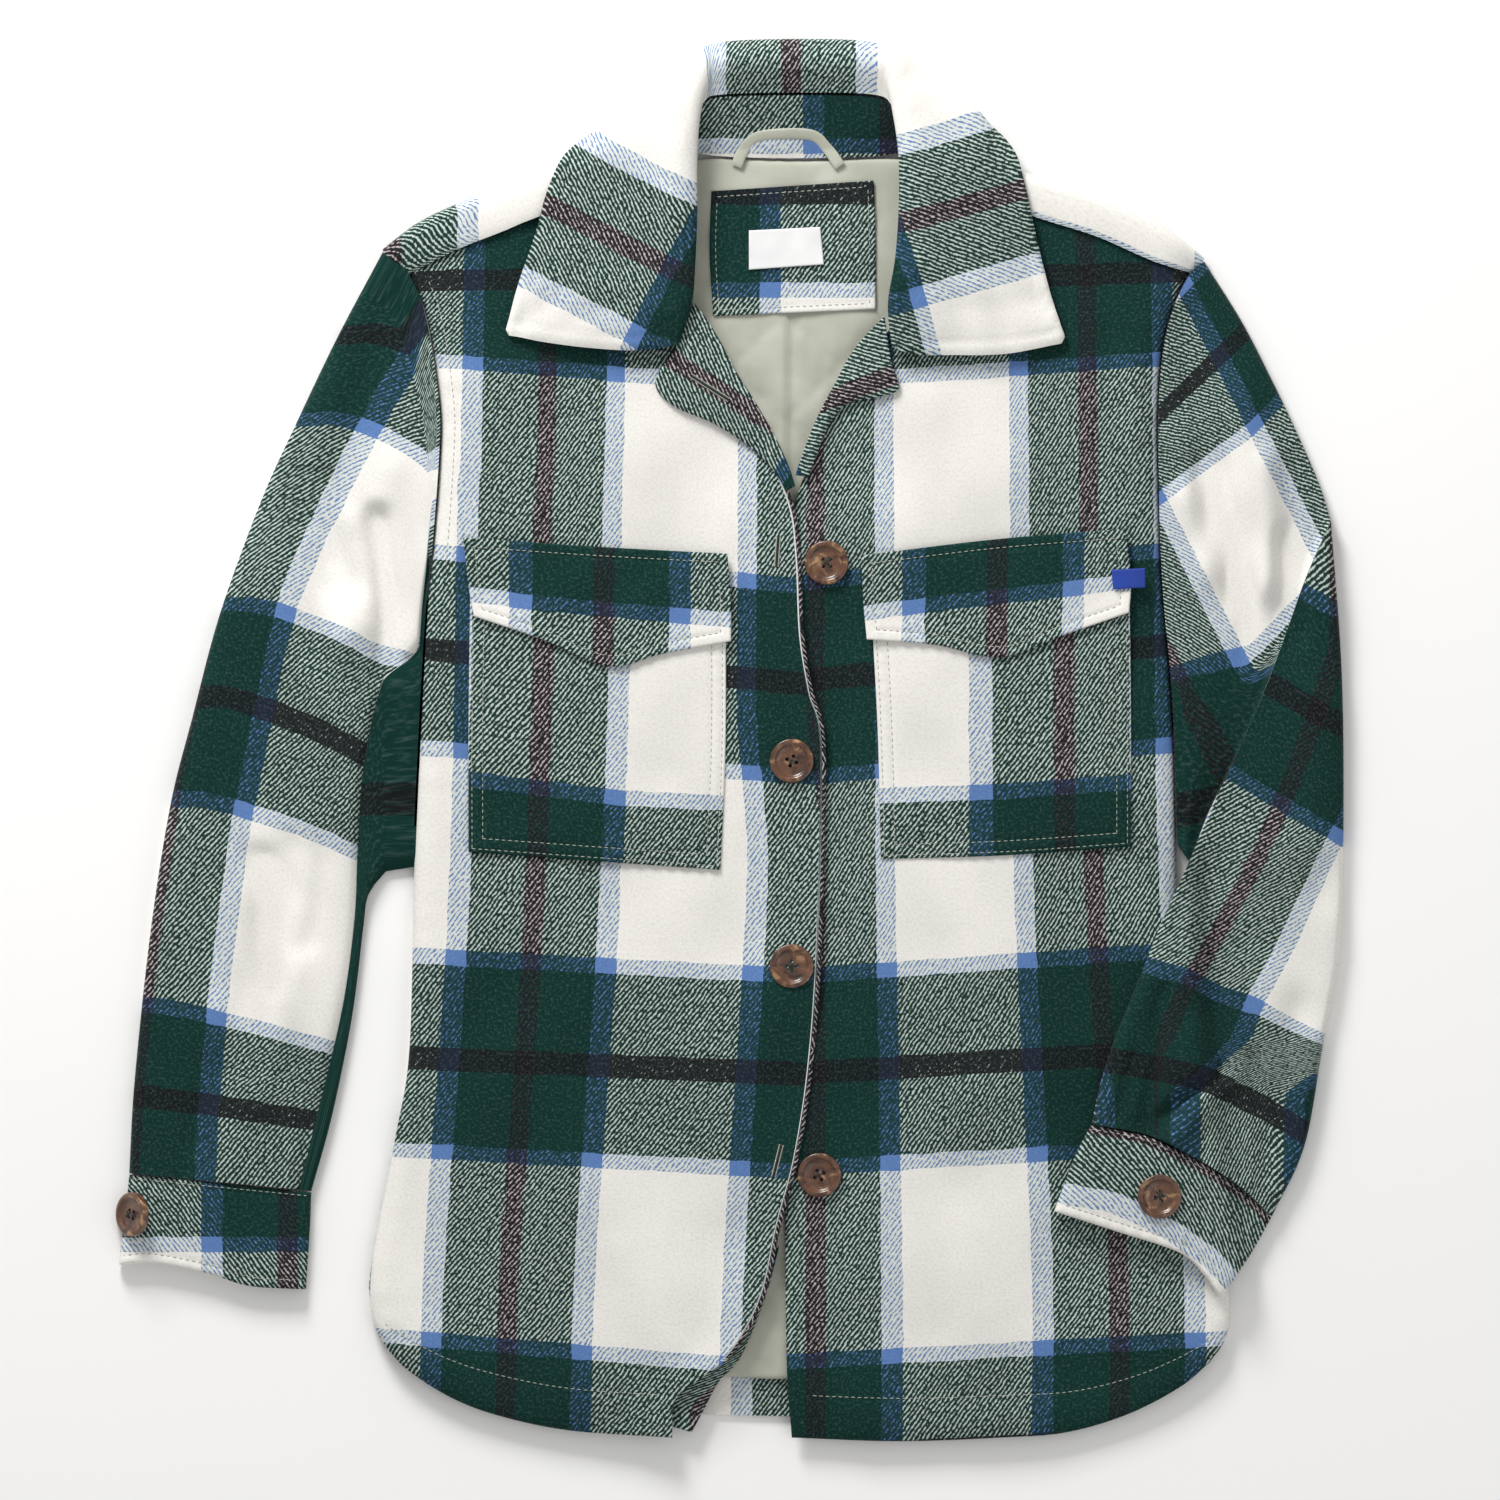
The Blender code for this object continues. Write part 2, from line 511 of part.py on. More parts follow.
def make_back():
    """The back, flat on the floor, whose shoulders come over to the forward seams."""
    right = by_length(BACK_FOLD_RIGHT, np.linspace(0, 1, 7))
    neck = by_length(BACK_NECK, np.linspace(0, 1, 8))
    left = by_length(BACK_FOLD_LEFT, np.linspace(0, 1, 7))
    fold = np.vstack([right, neck[1:-1], left])
    shares = np.linspace(0, 1, len(fold))
    vs = np.linspace(0, 1, 26)
    turn_in = np.array([0, 3.0])
    high = np.vstack([right - turn_in, neck[1:-1], left - turn_in])
    low = by_length(BACK_HEM, shares)
    side_right = [BACK_HEM[0]] + SIDE_RIGHT[2:] + [tuple(high[0])]
    side_left = [BACK_HEM[-1]] + SIDE_LEFT[1:] + [tuple(high[-1])]
    floor = patch(low, high, by_length(side_right, vs), by_length(side_left, vs), shares, vs)
    seam = fold.copy()
    seam[:7] = by_length(SHOULDER_RIGHT, np.linspace(0, 1, 7))
    seam[-7:] = by_length(SHOULDER_LEFT, np.linspace(0, 1, 7))
    inward = (fold - seam) / np.maximum(np.linalg.norm(fold - seam, axis=1, keepdims=True), 1)
    from_side = np.minimum(np.abs(fold[:, 0] - fold[0, 0]), np.abs(fold[:, 0] - fold[-1, 0]))
    top = EDGE_TOP + (WRAP_TOP - EDGE_TOP) * rise(from_side, 24)
    ledge = np.minimum(top, BODY_TOP)
    rows = [
        (fold, top / 2), (fold - 3 * inward, top - 0.5), ((fold + seam) / 2, top),
        (seam + 0.6 * inward, ledge + 0.3),
    ]
    wrap = [np.concatenate([place, height[:, None]], axis=1) for place, height in rows]
    points = np.concatenate([with_height(floor, np.zeros(floor.shape[:2])), np.array(wrap)])
    first_wrap = len(vs) - 1
    between = (6, len(fold) - 7)
    turned_cloth(
        "back_panel", points, BACK_WALL, faces_up=False,
        skip=lambda row, column: row >= first_wrap and between[0] <= column < between[1],
    )


def make_lining():
    """The back's quilted lining, raised in diamonds over a plain underside."""
    us = [0, 0.12, 0.24, *np.linspace(0.33, 0.74, 13), 0.82, 0.9, 1]
    vs = [0, 0.02, 0.045, 0.07, 0.1, 0.14, 0.25, 0.4, 0.55, *np.linspace(0.68, 0.985, 12), 1]
    rails = {"low": LINING_HEM, "high": LINING_TOP_EDGE, "left": LINING_RIGHT, "right": LINING_LEFT}
    plan = rail_patch(rails, us, vs)
    turn = math.pi / QUILT_PITCH
    x, y = plan[:, :, 0], plan[:, :, 1]
    puff = np.abs(np.cos((x + y) * turn) * np.cos((x - y) * turn)) ** 0.6
    from_edge = np.minimum(reach_along(plan, 0), reach_along(plan, 0, True))
    laid_cloth(
        "back_lining", plan, LINING_TOP + QUILT_PUFF * puff * rise(from_edge, 10), LINING_WALL,
        "lining", under=LINING_UNDER,
    )


def make_front(name, rails, us, vs, top, side_last, curled):
    """A front, which comes down to the back along its side and its hem, but for a curled corner."""
    plan = rail_patch(rails, us, vs)
    height = top(plan[:, :, 0], plan[:, :, 1])
    from_side = reach_along(plan, 1, side_last)
    from_hem = reach_along(plan, 0)
    corner = smooth(1 - reach_along(plan, 1, not side_last) / 80) * curled
    share = rise(from_side, SIDE_ROUND) * (0.35 + 0.65 * np.maximum(rise(from_hem, HEM_ROUND), corner))
    laid_cloth(name, plan, EDGE_TOP + (height - EDGE_TOP) * share, FRONT_WALL)


def make_fronts():
    """Both fronts, with the turned-out facings at the top of the opening and at the low corner."""
    us = np.array([0, 0.015, 0.035, 0.065, 0.13, 0.24, 0.36, 0.48, 0.6, 0.7, 0.8, 0.88, 0.95, 1])
    vs = np.array([0, 0.012, 0.03, 0.055, *np.linspace(0.09, 1, 27)])
    right = {"low": HEM_RIGHT, "high": SHOULDER_RIGHT, "left": SIDE_RIGHT, "right": EDGE_RIGHT}
    left = {"low": HEM_LEFT, "high": SHOULDER_LEFT, "left": EDGE_LEFT, "right": SIDE_LEFT}
    make_front("front_right", right, us, vs, right_top, False, 1)
    make_front("front_left", left, 1 - us[::-1], vs, left_top, True, 0)
    make_lapel("lapel_right", LAPEL_RIGHT_FREE, LAPEL_RIGHT_ROLL, right_top, 1)
    make_lapel("lapel_left", LAPEL_LEFT_ROLL, LAPEL_LEFT_FREE, left_top, 0)


def make_lapel(name, left, right, top, roll_column):
    """A facing that lies turned out on its front, a little raised along its roll."""
    us, vs = np.linspace(0, 1, 5), np.linspace(0, 1, 11)
    rails = {
        "low": [left[0], right[0]], "high": [left[-1], right[-1]], "left": left, "right": right,
    }
    plan = rail_patch(rails, us, vs)
    near_roll = us if roll_column else 1 - us
    arch = LAPEL_ARCH * np.sin(np.clip(near_roll * 1.2, 0, 1) * math.pi * 0.75)
    lie = top(plan[:, :, 0], plan[:, :, 1]) + 0.6 + FACING_WALL
    laid_cloth(name, plan, lie + arch[None] * np.sin(vs * math.pi * 0.6 + 0.3)[:, None], FACING_WALL)


def make_facing():
    """The strip of facing that shows beside the right front's curled lower corner."""
    vs = np.linspace(0, 1, 8)
    edge = by_length(EDGE_RIGHT, np.linspace(0.01, 0.165, 8)) - np.array([FACING_TUCK, 0])
    outer = by_length(FACING_OUTER, vs)
    shares = np.array([0, 0.35, 0.7, 1])[None, :, None]
    plan = edge[:, None] * (1 - shares) + outer[:, None] * shares
    rest = LINING_TOP + QUILT_PUFF + LAYER_GAP
    laid_cloth("facing_right", plan, rest + FACING_WALL - 0.9, FACING_WALL - 0.9)


def make_sleeve_right():
    """The right sleeve: its upper layer ends at a fold, with the low layer of its underside beyond."""
    us, vs = np.array(ACROSS), np.linspace(0, 1, 22)
    outer, fold, inner = (by_knot(SLEEVE_RIGHT_ROWS[key], vs) for key in ("outer", "fold", "inner"))
    armhole = by_length([(x - 0.9, y) for x, y in ARMHOLE_RIGHT], us)
    armhole = armhole + (outer[-1] - armhole[0]) * (1 - us)[:, None]
    fold[-1] = armhole[-1]
    seam = by_length([tuple(outer[0]), tuple(fold[0])], us)
    upper = patch(seam, armhole, outer, fold, us, vs)
    low_us = np.array([0.3, 0.75, 1])
    under = np.array([(x_at(SIDE_RIGHT, y) - 1.0, y) for y in np.linspace(armhole[-1, 1], -56, 5)])
    share = low_us[None, :, None]
    lower = fold[:, None] * (1 - share) + inner[:, None] * share
    lower[-1] = by_length([tuple(p) for p in under], low_us)
    plan = np.concatenate([upper, lower], axis=1)
    near = reach_along(upper, 1)
    top = LOW_HEIGHT + (SLEEVE_HEIGHT - LOW_HEIGHT) * rise(near, TUBE_ROUND)
    top = top + fold_height(RIGHT_SLEEVE_FOLDS, upper[:, :, 0], upper[:, :, 1]) * rise(near, 20)
    top[:, -1] -= 1.2
    height = np.concatenate([top, np.full(lower.shape[:2], LOW_HEIGHT)], axis=1)
    tube_cloth("sleeve_right", plan, np.maximum(height, LOW_HEIGHT), SLEEVE_WALL)


def make_sleeve_left():
    """The left sleeve: its forearm lies over the body's side and over its own upper arm's low end."""
    us = np.array(ACROSS_LEFT)
    vs = np.array([0, 0.08, 0.17, 0.27, 0.37, 0.47, 0.57, 0.67, 0.77, 0.86, 0.94, 1])
    forearm = patch(
        by_length(CUFF_SEAM_LEFT, us), by_length(CREASE, us),
        by_length(FOREARM_INNER, vs), by_length(FOREARM_OUTER, vs), us, vs,
    )
    armhole = by_length([(x + 0.9, y) for x, y in ARMHOLE_LEFT], us)
    shares = np.array([0.035, 0.14, 0.28, 0.43, 0.58, 0.72, 0.86, 1])
    rails = [by_length([*rail[:-1], tuple(end)], shares) for rail, end in (
        (UPPER_INNER, armhole[0]), (UPPER_OUTER, armhole[-1]),
    )]
    upper = patch(by_length(CREASE, us), armhole, *rails, us, shares)
    plan = np.concatenate([forearm, upper])
    rows = np.concatenate([vs, 1 + shares])[:, None]
    top = FOREARM_HEIGHT + (CREASE_HEIGHT - FOREARM_HEIGHT) * smooth((rows - 0.6) / 0.35)
    beyond = LOW_HEIGHT + (SLEEVE_HEIGHT - LOW_HEIGHT) * smooth((rows - 1.05) / 0.5)
    top = np.where(rows > 1, beyond, top)
    top = top + fold_height(LEFT_SLEEVE_FOLDS, plan[:, :, 0], plan[:, :, 1])
    tube_cloth(
        "sleeve_left", plan, np.maximum(edge_round(plan, top), LOW_HEIGHT), SLEEVE_WALL,
        forearm_support,
    )


def make_cuffs():
    """Both cuffs, as short flattened tubes."""
    for name, rails, us, support in (
        ("cuff_right", CUFF_RIGHT, ACROSS, None),
        ("cuff_left", CUFF_LEFT, ACROSS_LEFT, forearm_support),
    ):
        plan = rail_patch(rails, np.array(us), np.linspace(0, 1, 5))
        tube_cloth(name, plan, edge_round(plan, CUFF_HEIGHT), CUFF_WALL, support)


def make_collar():
    """The stand round the neck, and the fall that turns over it."""
    rows = np.array(COLLAR, float)
    at = np.linspace(0, len(rows) - 1, 33)
    smoothed = np.stack([curve(rows[:, k], at) for k in range(rows.shape[1])], axis=1)
    neck, seam = smoothed[:, 0], smoothed[:, 1]
    across = seam - neck
    trim = 2.0 / np.linalg.norm(across, axis=1, keepdims=True)
    shares = np.array([0, 0.5, 1])
    stand = neck[:, None] + across[:, None] * (shares[None, :, None] * (1 - trim[:, None]))
    turned_cloth("collar_stand", stand[2:-2], STAND_WALL)
    fine = np.array([0, 1, 1.5, 2, 2.5, 3, 4, 4.5, 5])
    fall = np.stack([curve(section[1:], fine) for section in smoothed])
    x, y = fall[:, :, 0], fall[:, :, 1]
    worn = body_top(x, y) + COLLAR_WALL + 0.7
    on_body = y < 318
    fall[:, 3:, 2] = np.where(on_body, np.maximum(fall[:, :, 2], worn), fall[:, :, 2])[:, 3:]
    fall[:, :, 2] = np.maximum(fall[:, :, 2], 0)
    turned_cloth("collar_fall", fall, COLLAR_WALL)


def make_pockets():
    """The chest pockets and their pointed flaps, each laid over what is under it."""
    us, vs = np.linspace(0, 1, 8), np.linspace(0, 1, 9)
    flap_us, flap_vs = np.linspace(0, 1, 9), np.linspace(0, 1, 4)
    for side, pocket, flap, top in (
        ("right", POCKET_RIGHT, FLAP_RIGHT, right_top), ("left", POCKET_LEFT, FLAP_LEFT, left_top),
    ):
        plan = rail_patch(pocket, us, vs)
        lie = top(plan[:, :, 0], plan[:, :, 1]) + 0.5 + POCKET_WALL
        laid_cloth(f"pocket_{side}", plan, lie, POCKET_WALL)
        plan = rail_patch(flap, flap_us, flap_vs)
        lie = top(plan[:, :, 0], plan[:, :, 1]) + 0.5 + 2 * POCKET_WALL + 0.5
        laid_cloth(f"flap_{side}", plan, lie, POCKET_WALL)
    plan = rail_patch(POCKET_TAB, np.array([0, 1]), np.array([0, 1]))
    laid_cloth("pocket_tab", plan, BODY_TOP + 1 + 2 * POCKET_WALL + 0.5 + TRIM_WALL, TRIM_WALL, "tab")


def make_neck():
    """The patch inside the back neck, its bare label and the hanging loop."""
    rest = LINING_TOP + QUILT_PUFF + LAYER_GAP
    plan = rail_patch(NECK_PATCH, np.linspace(0, 1, 5), np.linspace(0, 1, 5))
    laid_cloth("neck_patch", plan, rest + TRIM_WALL, TRIM_WALL)
    plan = rail_patch(NECK_LABEL, np.linspace(0, 1, 3), np.linspace(0, 1, 3))
    laid_cloth("neck_label", plan, rest + 2 * TRIM_WALL + GAP, TRIM_WALL, "label")
    centre = by_length(HANG_LOOP, np.linspace(0, 1, 15))
    ahead = np.gradient(centre, axis=0)
    across = np.stack([-ahead[:, 1], ahead[:, 0]], axis=1)
    across = across / np.linalg.norm(across, axis=1, keepdims=True) * HANG_LOOP_WIDTH / 2
    plan = np.stack([centre - across, centre + across], axis=1)
    lie = np.maximum(rest, 5.4 + (plan[:, :, 1] - 328) * 0.3) + TRIM_WALL
    laid_cloth("hanging_loop", plan, lie, TRIM_WALL, "lining")


def make_button():
    """A four-hole button with a rim, its underside at its origin."""
    mesh = bmesh.new()
    outline = [(0, 0), (9.5, 0), (12.3, 1.8), (12.3, 3), (11.2, 4.2), (9.4, 3.4), (0, 3.0)]
    verts = [mesh.verts.new((radius * MM, 0, height * MM)) for radius, height in outline]
    for a, b in zip(verts, verts[1:]):
        mesh.edges.new((a, b))
    bmesh.ops.spin(
        mesh, geom=mesh.verts[:] + mesh.edges[:], cent=(0, 0, 0), axis=(0, 0, 1),
        angle=2 * math.pi, steps=20, use_merge=True,
    )
    bmesh.ops.remove_doubles(mesh, verts=mesh.verts, dist=0.01 * MM)
    bmesh.ops.recalc_face_normals(mesh, faces=mesh.faces)
    button = add_object("button_1", mesh, "button")
    bpy.data.collections["shirt_jacket"].objects.unlink(button)
    bpy.data.collections["cutters"].objects.link(button)
    for number in range(4):
        turn = math.radians(45 + 90 * number)
        hole = bmesh.new()
        bmesh.ops.create_cone(
            hole, cap_ends=True, segments=6, radius1=HOLE_RADIUS * MM, radius2=HOLE_RADIUS * MM,
            depth=12 * MM,
            matrix=Matrix.Translation(
                (HOLE_OFFSET * MM * math.cos(turn), HOLE_OFFSET * MM * math.sin(turn), 0)
            ),
        )
        data = bpy.data.meshes.new(f"hole_{number}")
        hole.to_mesh(data)
        hole.free()
        cutter = bpy.data.objects.new(f"hole_{number}", data)
        cutter.hide_render = True
        cutter.display_type = "WIRE"
        bpy.data.collections["cutters"].objects.link(cutter)
        cut = button.modifiers.new(f"hole_{number}", "BOOLEAN")
        cut.operation = "DIFFERENCE"
        cut.object = cutter
    bpy.context.view_layer.update()
    shape = bpy.data.meshes.new_from_object(
        button.evaluated_get(bpy.context.evaluated_depsgraph_get())
    )
    bpy.data.objects.remove(button)
    shape.shade_smooth()
    shape.set_sharp_from_angle(angle=math.radians(35))
    return shape


def make_buttons():
    """Places each button on its cloth."""
    shape = make_button()
    cloth = {
        "right_front": right_top,
        "left_front": left_top,
        "left_cuff": lambda x, y: forearm_support(x, y) + CUFF_HEIGHT,
    }
    placed = {}
    for name, (x, y, under, tilt) in BUTTONS.items():
        height = float(cloth[under](np.array([float(x)]), np.array([float(y)]))[0])
        lift = 0.35 + BUTTON_RADIUS * 0.78 * abs(math.sin(math.radians(tilt)))
        placed[name] = ((x, y, height + lift), tilt)
    placed["button_cuff_right"] = (CUFF_BUTTON, CUFF_BUTTON_TILT)
    for name, (place, tilt) in placed.items():
        made = bpy.data.objects.new(name, shape)
        made.location = Vector(place) * MM
        made.rotation_euler = Euler((0, math.radians(tilt), 0))
        bpy.data.collections["shirt_jacket"].objects.link(made)


def main():
    """Clears the scene and makes the whole jacket."""
    for item in list(bpy.data.objects):
        bpy.data.objects.remove(item)
    for name in ("shirt_jacket", "cutters"):
        bpy.context.scene.collection.children.link(bpy.data.collections.new(name))
    bpy.data.collections["cutters"].hide_render = True
    make_back()
    make_lining()
    make_fronts()
    make_facing()
    make_sleeve_right()
    make_sleeve_left()
    make_cuffs()
    make_collar()
    make_pockets()
    make_neck()
    make_buttons()
    for item in bpy.data.collections["shirt_jacket"].objects:
        item.location -= Vector((*MIDDLE, 0)) * MM


main()
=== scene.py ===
"""Looks of the shirt jacket: brushed check twill over a quilted lining, laid flat on its back.

Every cloth piece is a thin shell on its solid's form. Tables are in millimetres on the table that
the jacket lies on, and are moved by MIDDLE and scaled when a mesh is made. Right and left are the
wearer's, so the right front is at -X.
"""

import logging
import math
from collections.abc import Callable, Sequence
from dataclasses import dataclass
from enum import Enum

import bmesh
import bpy
import numpy as np
from mathutils import Euler, Matrix, Vector


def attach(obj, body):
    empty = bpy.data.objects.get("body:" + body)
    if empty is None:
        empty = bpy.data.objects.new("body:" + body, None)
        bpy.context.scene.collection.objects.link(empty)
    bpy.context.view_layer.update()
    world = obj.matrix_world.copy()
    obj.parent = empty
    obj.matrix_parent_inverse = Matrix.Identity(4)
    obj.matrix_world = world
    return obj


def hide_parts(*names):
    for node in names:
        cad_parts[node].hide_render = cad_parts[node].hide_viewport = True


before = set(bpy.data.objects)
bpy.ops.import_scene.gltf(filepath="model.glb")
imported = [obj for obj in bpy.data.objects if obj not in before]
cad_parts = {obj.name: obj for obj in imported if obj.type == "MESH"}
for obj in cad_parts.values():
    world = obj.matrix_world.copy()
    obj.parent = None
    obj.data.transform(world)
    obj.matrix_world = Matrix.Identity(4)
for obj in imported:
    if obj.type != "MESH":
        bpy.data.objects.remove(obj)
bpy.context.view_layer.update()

LOG = logging.getLogger("shirt_jacket")
MM = 0.001
TURN = 6.28

Grid = np.ndarray
Rail = Sequence[tuple[float, float]]
Rails = dict[str, Rail]
Finishes = dict[str, bpy.types.Material]

# The middle of the whole outline in the tables' own x and y, which becomes the origin.
MIDDLE = (-1.33, 0.59)

# Cloth: each wall, and the gap that is left at a seam and between layers.
GAP = 0.3
LAYER_GAP = 0.5
BACK_WALL = 2.0
LINING_WALL = 3.0
QUILT_PUFF = 1.0
QUILT_PITCH = 60.0
FRONT_WALL = 3.0
SLEEVE_WALL = 3.0
COLLAR_WALL = 3.0
STAND_WALL = 2.4
FACING_WALL = 2.4
POCKET_WALL = 1.8
TRIM_WALL = 1.0

# The check: its repeats across and up, and how far the weft's blue lines lie from its dark one.
WARP_REPEAT = 168.0
WEFT_REPEAT = 218.4
BLUE_WEFT = 53.9

# The cut of what shows of each sheet: width, all round on a tube, and length, then what it lies on.
CUTS = {
    "back_panel": (470, 745),
    "back_lining": (425, 690, "back_panel"),
    "front_right": (270, 735, "back_lining", "back_panel"),
    "front_left": (270, 735, "back_lining", "back_panel"),
    "lapel_right": (30, 135, "front_right"),
    "lapel_left": (20, 120, "front_left"),
    "facing_right": (26, 130, "back_lining"),
    "sleeve_right": (330, 560),
    "sleeve_left": (330, 600, "front_left"),
    "cuff_right": (215, 56),
    "cuff_left": (215, 56, "front_left"),
    "collar_stand": (36, 240, "back_panel"),
    "collar_fall": (105, 440, "front_right", "front_left"),
    "pocket_right": (143, 156, "front_right"),
    "pocket_left": (143, 152, "front_left"),
    "flap_right": (150, 66, "pocket_right"),
    "flap_left": (150, 62, "pocket_left"),
    "pocket_tab": (19, 11.5, "flap_left"),
    "neck_patch": (94, 74, "back_lining"),
    "neck_label": (42, 23, "neck_patch"),
    "hanging_loop": (13, 95, "collar_stand"),
}

# Heights over the floor of the upper side of each layer.
BODY_TOP = 12.0
EDGE_TOP = BACK_WALL + GAP + FRONT_WALL
LINING_UNDER = BACK_WALL + GAP
LINING_TOP = LINING_UNDER + LINING_WALL
WRAP_TOP = 13.5
SIDE_ROUND = 13.0
HEM_ROUND = 26.0
FOREARM_SINK = 2.0

# Sleeves and cuffs are flattened tubes: their height, their low one at an edge or a fold, and the
# reach of their rounded edges.
SLEEVE_HEIGHT = 10.0
FOREARM_HEIGHT = 10.2
CREASE_HEIGHT = 12.6
LOW_HEIGHT = 2 * SLEEVE_WALL + 0.5
CUFF_HEIGHT = 9.0
TUBE_ROUND = 11.0

# The two fronts lap at the middle, and the right one rises over the left one's edge.
LAP_START = 8.0
LAP_END = 76.0
LAP_RUN = 18.0
LAP_SHIFT = 1.85
CURL_LIFT = 3.0
CURL_REACH = 30.0

BUTTON_RADIUS = 12.3
BUTTON_HEIGHT = 4.2
HOLE_RADIUS = 1.1
HOLE_OFFSET = 2.7

# Rails: the edges of each piece seen from above, as x, y. Sides and edges run from the hem up,
# and hems, shoulders and seams run from -X to +X.
SIDE_RIGHT = [
    (-192, -340), (-199, -328), (-202, -312), (-200, -285), (-188, -221), (-180, -170),
    (-177, -60), (-171, 60), (-167, 105), (-163, 160), (-163, 190), (-170, 237), (-180, 263),
]
HEM_RIGHT = [(-192, -340), (-180, -352), (-156, -367), (-129, -377), (-90, -385), (-33, -389)]
EDGE_RIGHT = [
    (-33, -389), (-31, -368), (-14, -354), (3, -340), (19, -310), (28, -270), (38, -232),
    (46, -180), (51, -110), (53, -3), (46, 29), (41, 61), (39, 105), (34, 137), (14, 179),
    (-1, 203), (-14, 226), (-29, 247), (-37, 280), (-41, 315),
]
SHOULDER_RIGHT = [(-180, 263), (-152, 277), (-129, 286), (-104, 296), (-41, 315)]
EDGE_LEFT = [
    (34, -389), (31, -340), (30, -200), (30, 0), (31, 80), (35, 128), (41, 150), (50, 173),
    (62, 197), (76, 218), (93, 236), (104, 252), (110, 280), (113, 315),
]
HEM_LEFT = [(34, -389), (94, -391), (151, -389), (188, -386), (222, -376), (251, -361), (268, -347)]
SIDE_LEFT = [
    (268, -347), (277, -333), (279, -312), (271, -267), (259, -200), (251, -122), (249, -57),
    (247, 20), (241, 100), (239, 160), (239, 190), (242, 223), (248, 246), (257, 264),
]
SHOULDER_LEFT = [(113, 315), (169, 295), (204, 284), (236, 270), (257, 264)]

BACK_HEM = [
    (-191, -335), (-170, -351), (-140, -363), (-100, -371), (-40, -375), (38, -377),
    (110, -376), (180, -371), (225, -361), (250, -352), (267, -341),
]
# The back's upper edge, right shoulder fold, neck, then left shoulder fold.
BACK_FOLD_RIGHT = [(-194, 275), (-171, 292), (-129, 310), (-104, 320), (-46, 339)]
BACK_NECK = [(-46, 333), (-20, 327), (38, 325), (96, 327), (118, 333)]
BACK_FOLD_LEFT = [(118, 337), (158, 320), (178, 314), (222, 299), (244, 286), (264, 270)]

LINING_HEM = [(-178, -326), (-100, -350), (0, -355), (40, -356), (150, -352), (256, -322)]
LINING_TOP_EDGE = [(-152, 250), (-60, 306), (-25, 326), (38, 326), (100, 326), (135, 308), (226, 250)]
LINING_RIGHT = [(-178, -326), (-163, -200), (-160, 0), (-148, 150), (-152, 250)]
LINING_LEFT = [(256, -322), (240, -200), (233, 0), (226, 150), (226, 250)]

# Sleeves, as rows from the cuff seam up to the armhole. The fold rail is the pressed edge where
# the right sleeve's upper layer ends, and what lies beyond it is the low layer under the arm.
SLEEVE_RIGHT_ROWS = {
    "outer": [(-337, -241), (-334, -189), (-325, -105), (-314, -35), (-302, 13), (-286, 73),
              (-263, 136), (-243, 180), (-220, 228), (-195, 275)],
    "fold": [(-242, -250), (-231, -205), (-218, -150), (-211, -100), (-209, -60), (-206, -15),
             (-198, 25), (-188, 55), (-178, 82), (-168, 104)],
    "inner": [(-235, -251), (-223, -207), (-212, -152), (-206, -104), (-204, -88), (-200, -80),
              (-195, -74), (-190, -68), (-184, -62), (-178, -56)],
}

# The left sleeve bends at the elbow, and its forearm lies over the side of the body. The crease
# is the upper edge of the forearm, which stands over the low layer of the upper arm.
FOREARM_INNER = [(202, -213), (207, -190), (215, -165), (226, -138), (238, -108), (248, -85), (257, -67)]
FOREARM_OUTER = [(303, -265), (321, -226), (331, -172), (341, -115), (343, -45), (342, 40), (336, 124)]
CUFF_SEAM_LEFT = [(202, -213), (235, -220), (265, -235), (286, -249), (303, -265)]
CREASE = [(257, -67), (267, -40), (277, -20), (288, 4), (300, 32), (312, 64), (322, 92), (336, 124)]
UPPER_INNER = [(257, -67), (250, -57)]
UPPER_OUTER = [(336, 124), (329, 146), (315, 178), (302, 205), (286, 236), (265, 269)]

CUFF_RIGHT = {
    "low": [(-343, -292), (-324, -291), (-293, -297), (-270, -304), (-238, -306)],
    "high": [(-337, -241.6), (-286, -246.6), (-235, -251.6)],
    "left": [(-343, -292), (-339, -262), (-337, -241.6)],
    "right": [(-238, -306), (-236, -275), (-235, -251.6)],
}
CUFF_LEFT = {
    "low": [(181, -262), (215, -273), (251, -285), (265, -297), (275, -311)],
    "high": [(x - 0.5, y - 0.9) for x, y in CUFF_SEAM_LEFT],
    "left": [(181, -262), (192, -233), (201.5, -213.9)],
    "right": [(275, -311), (284, -297), (293, -283), (302.5, -265.9)],
}

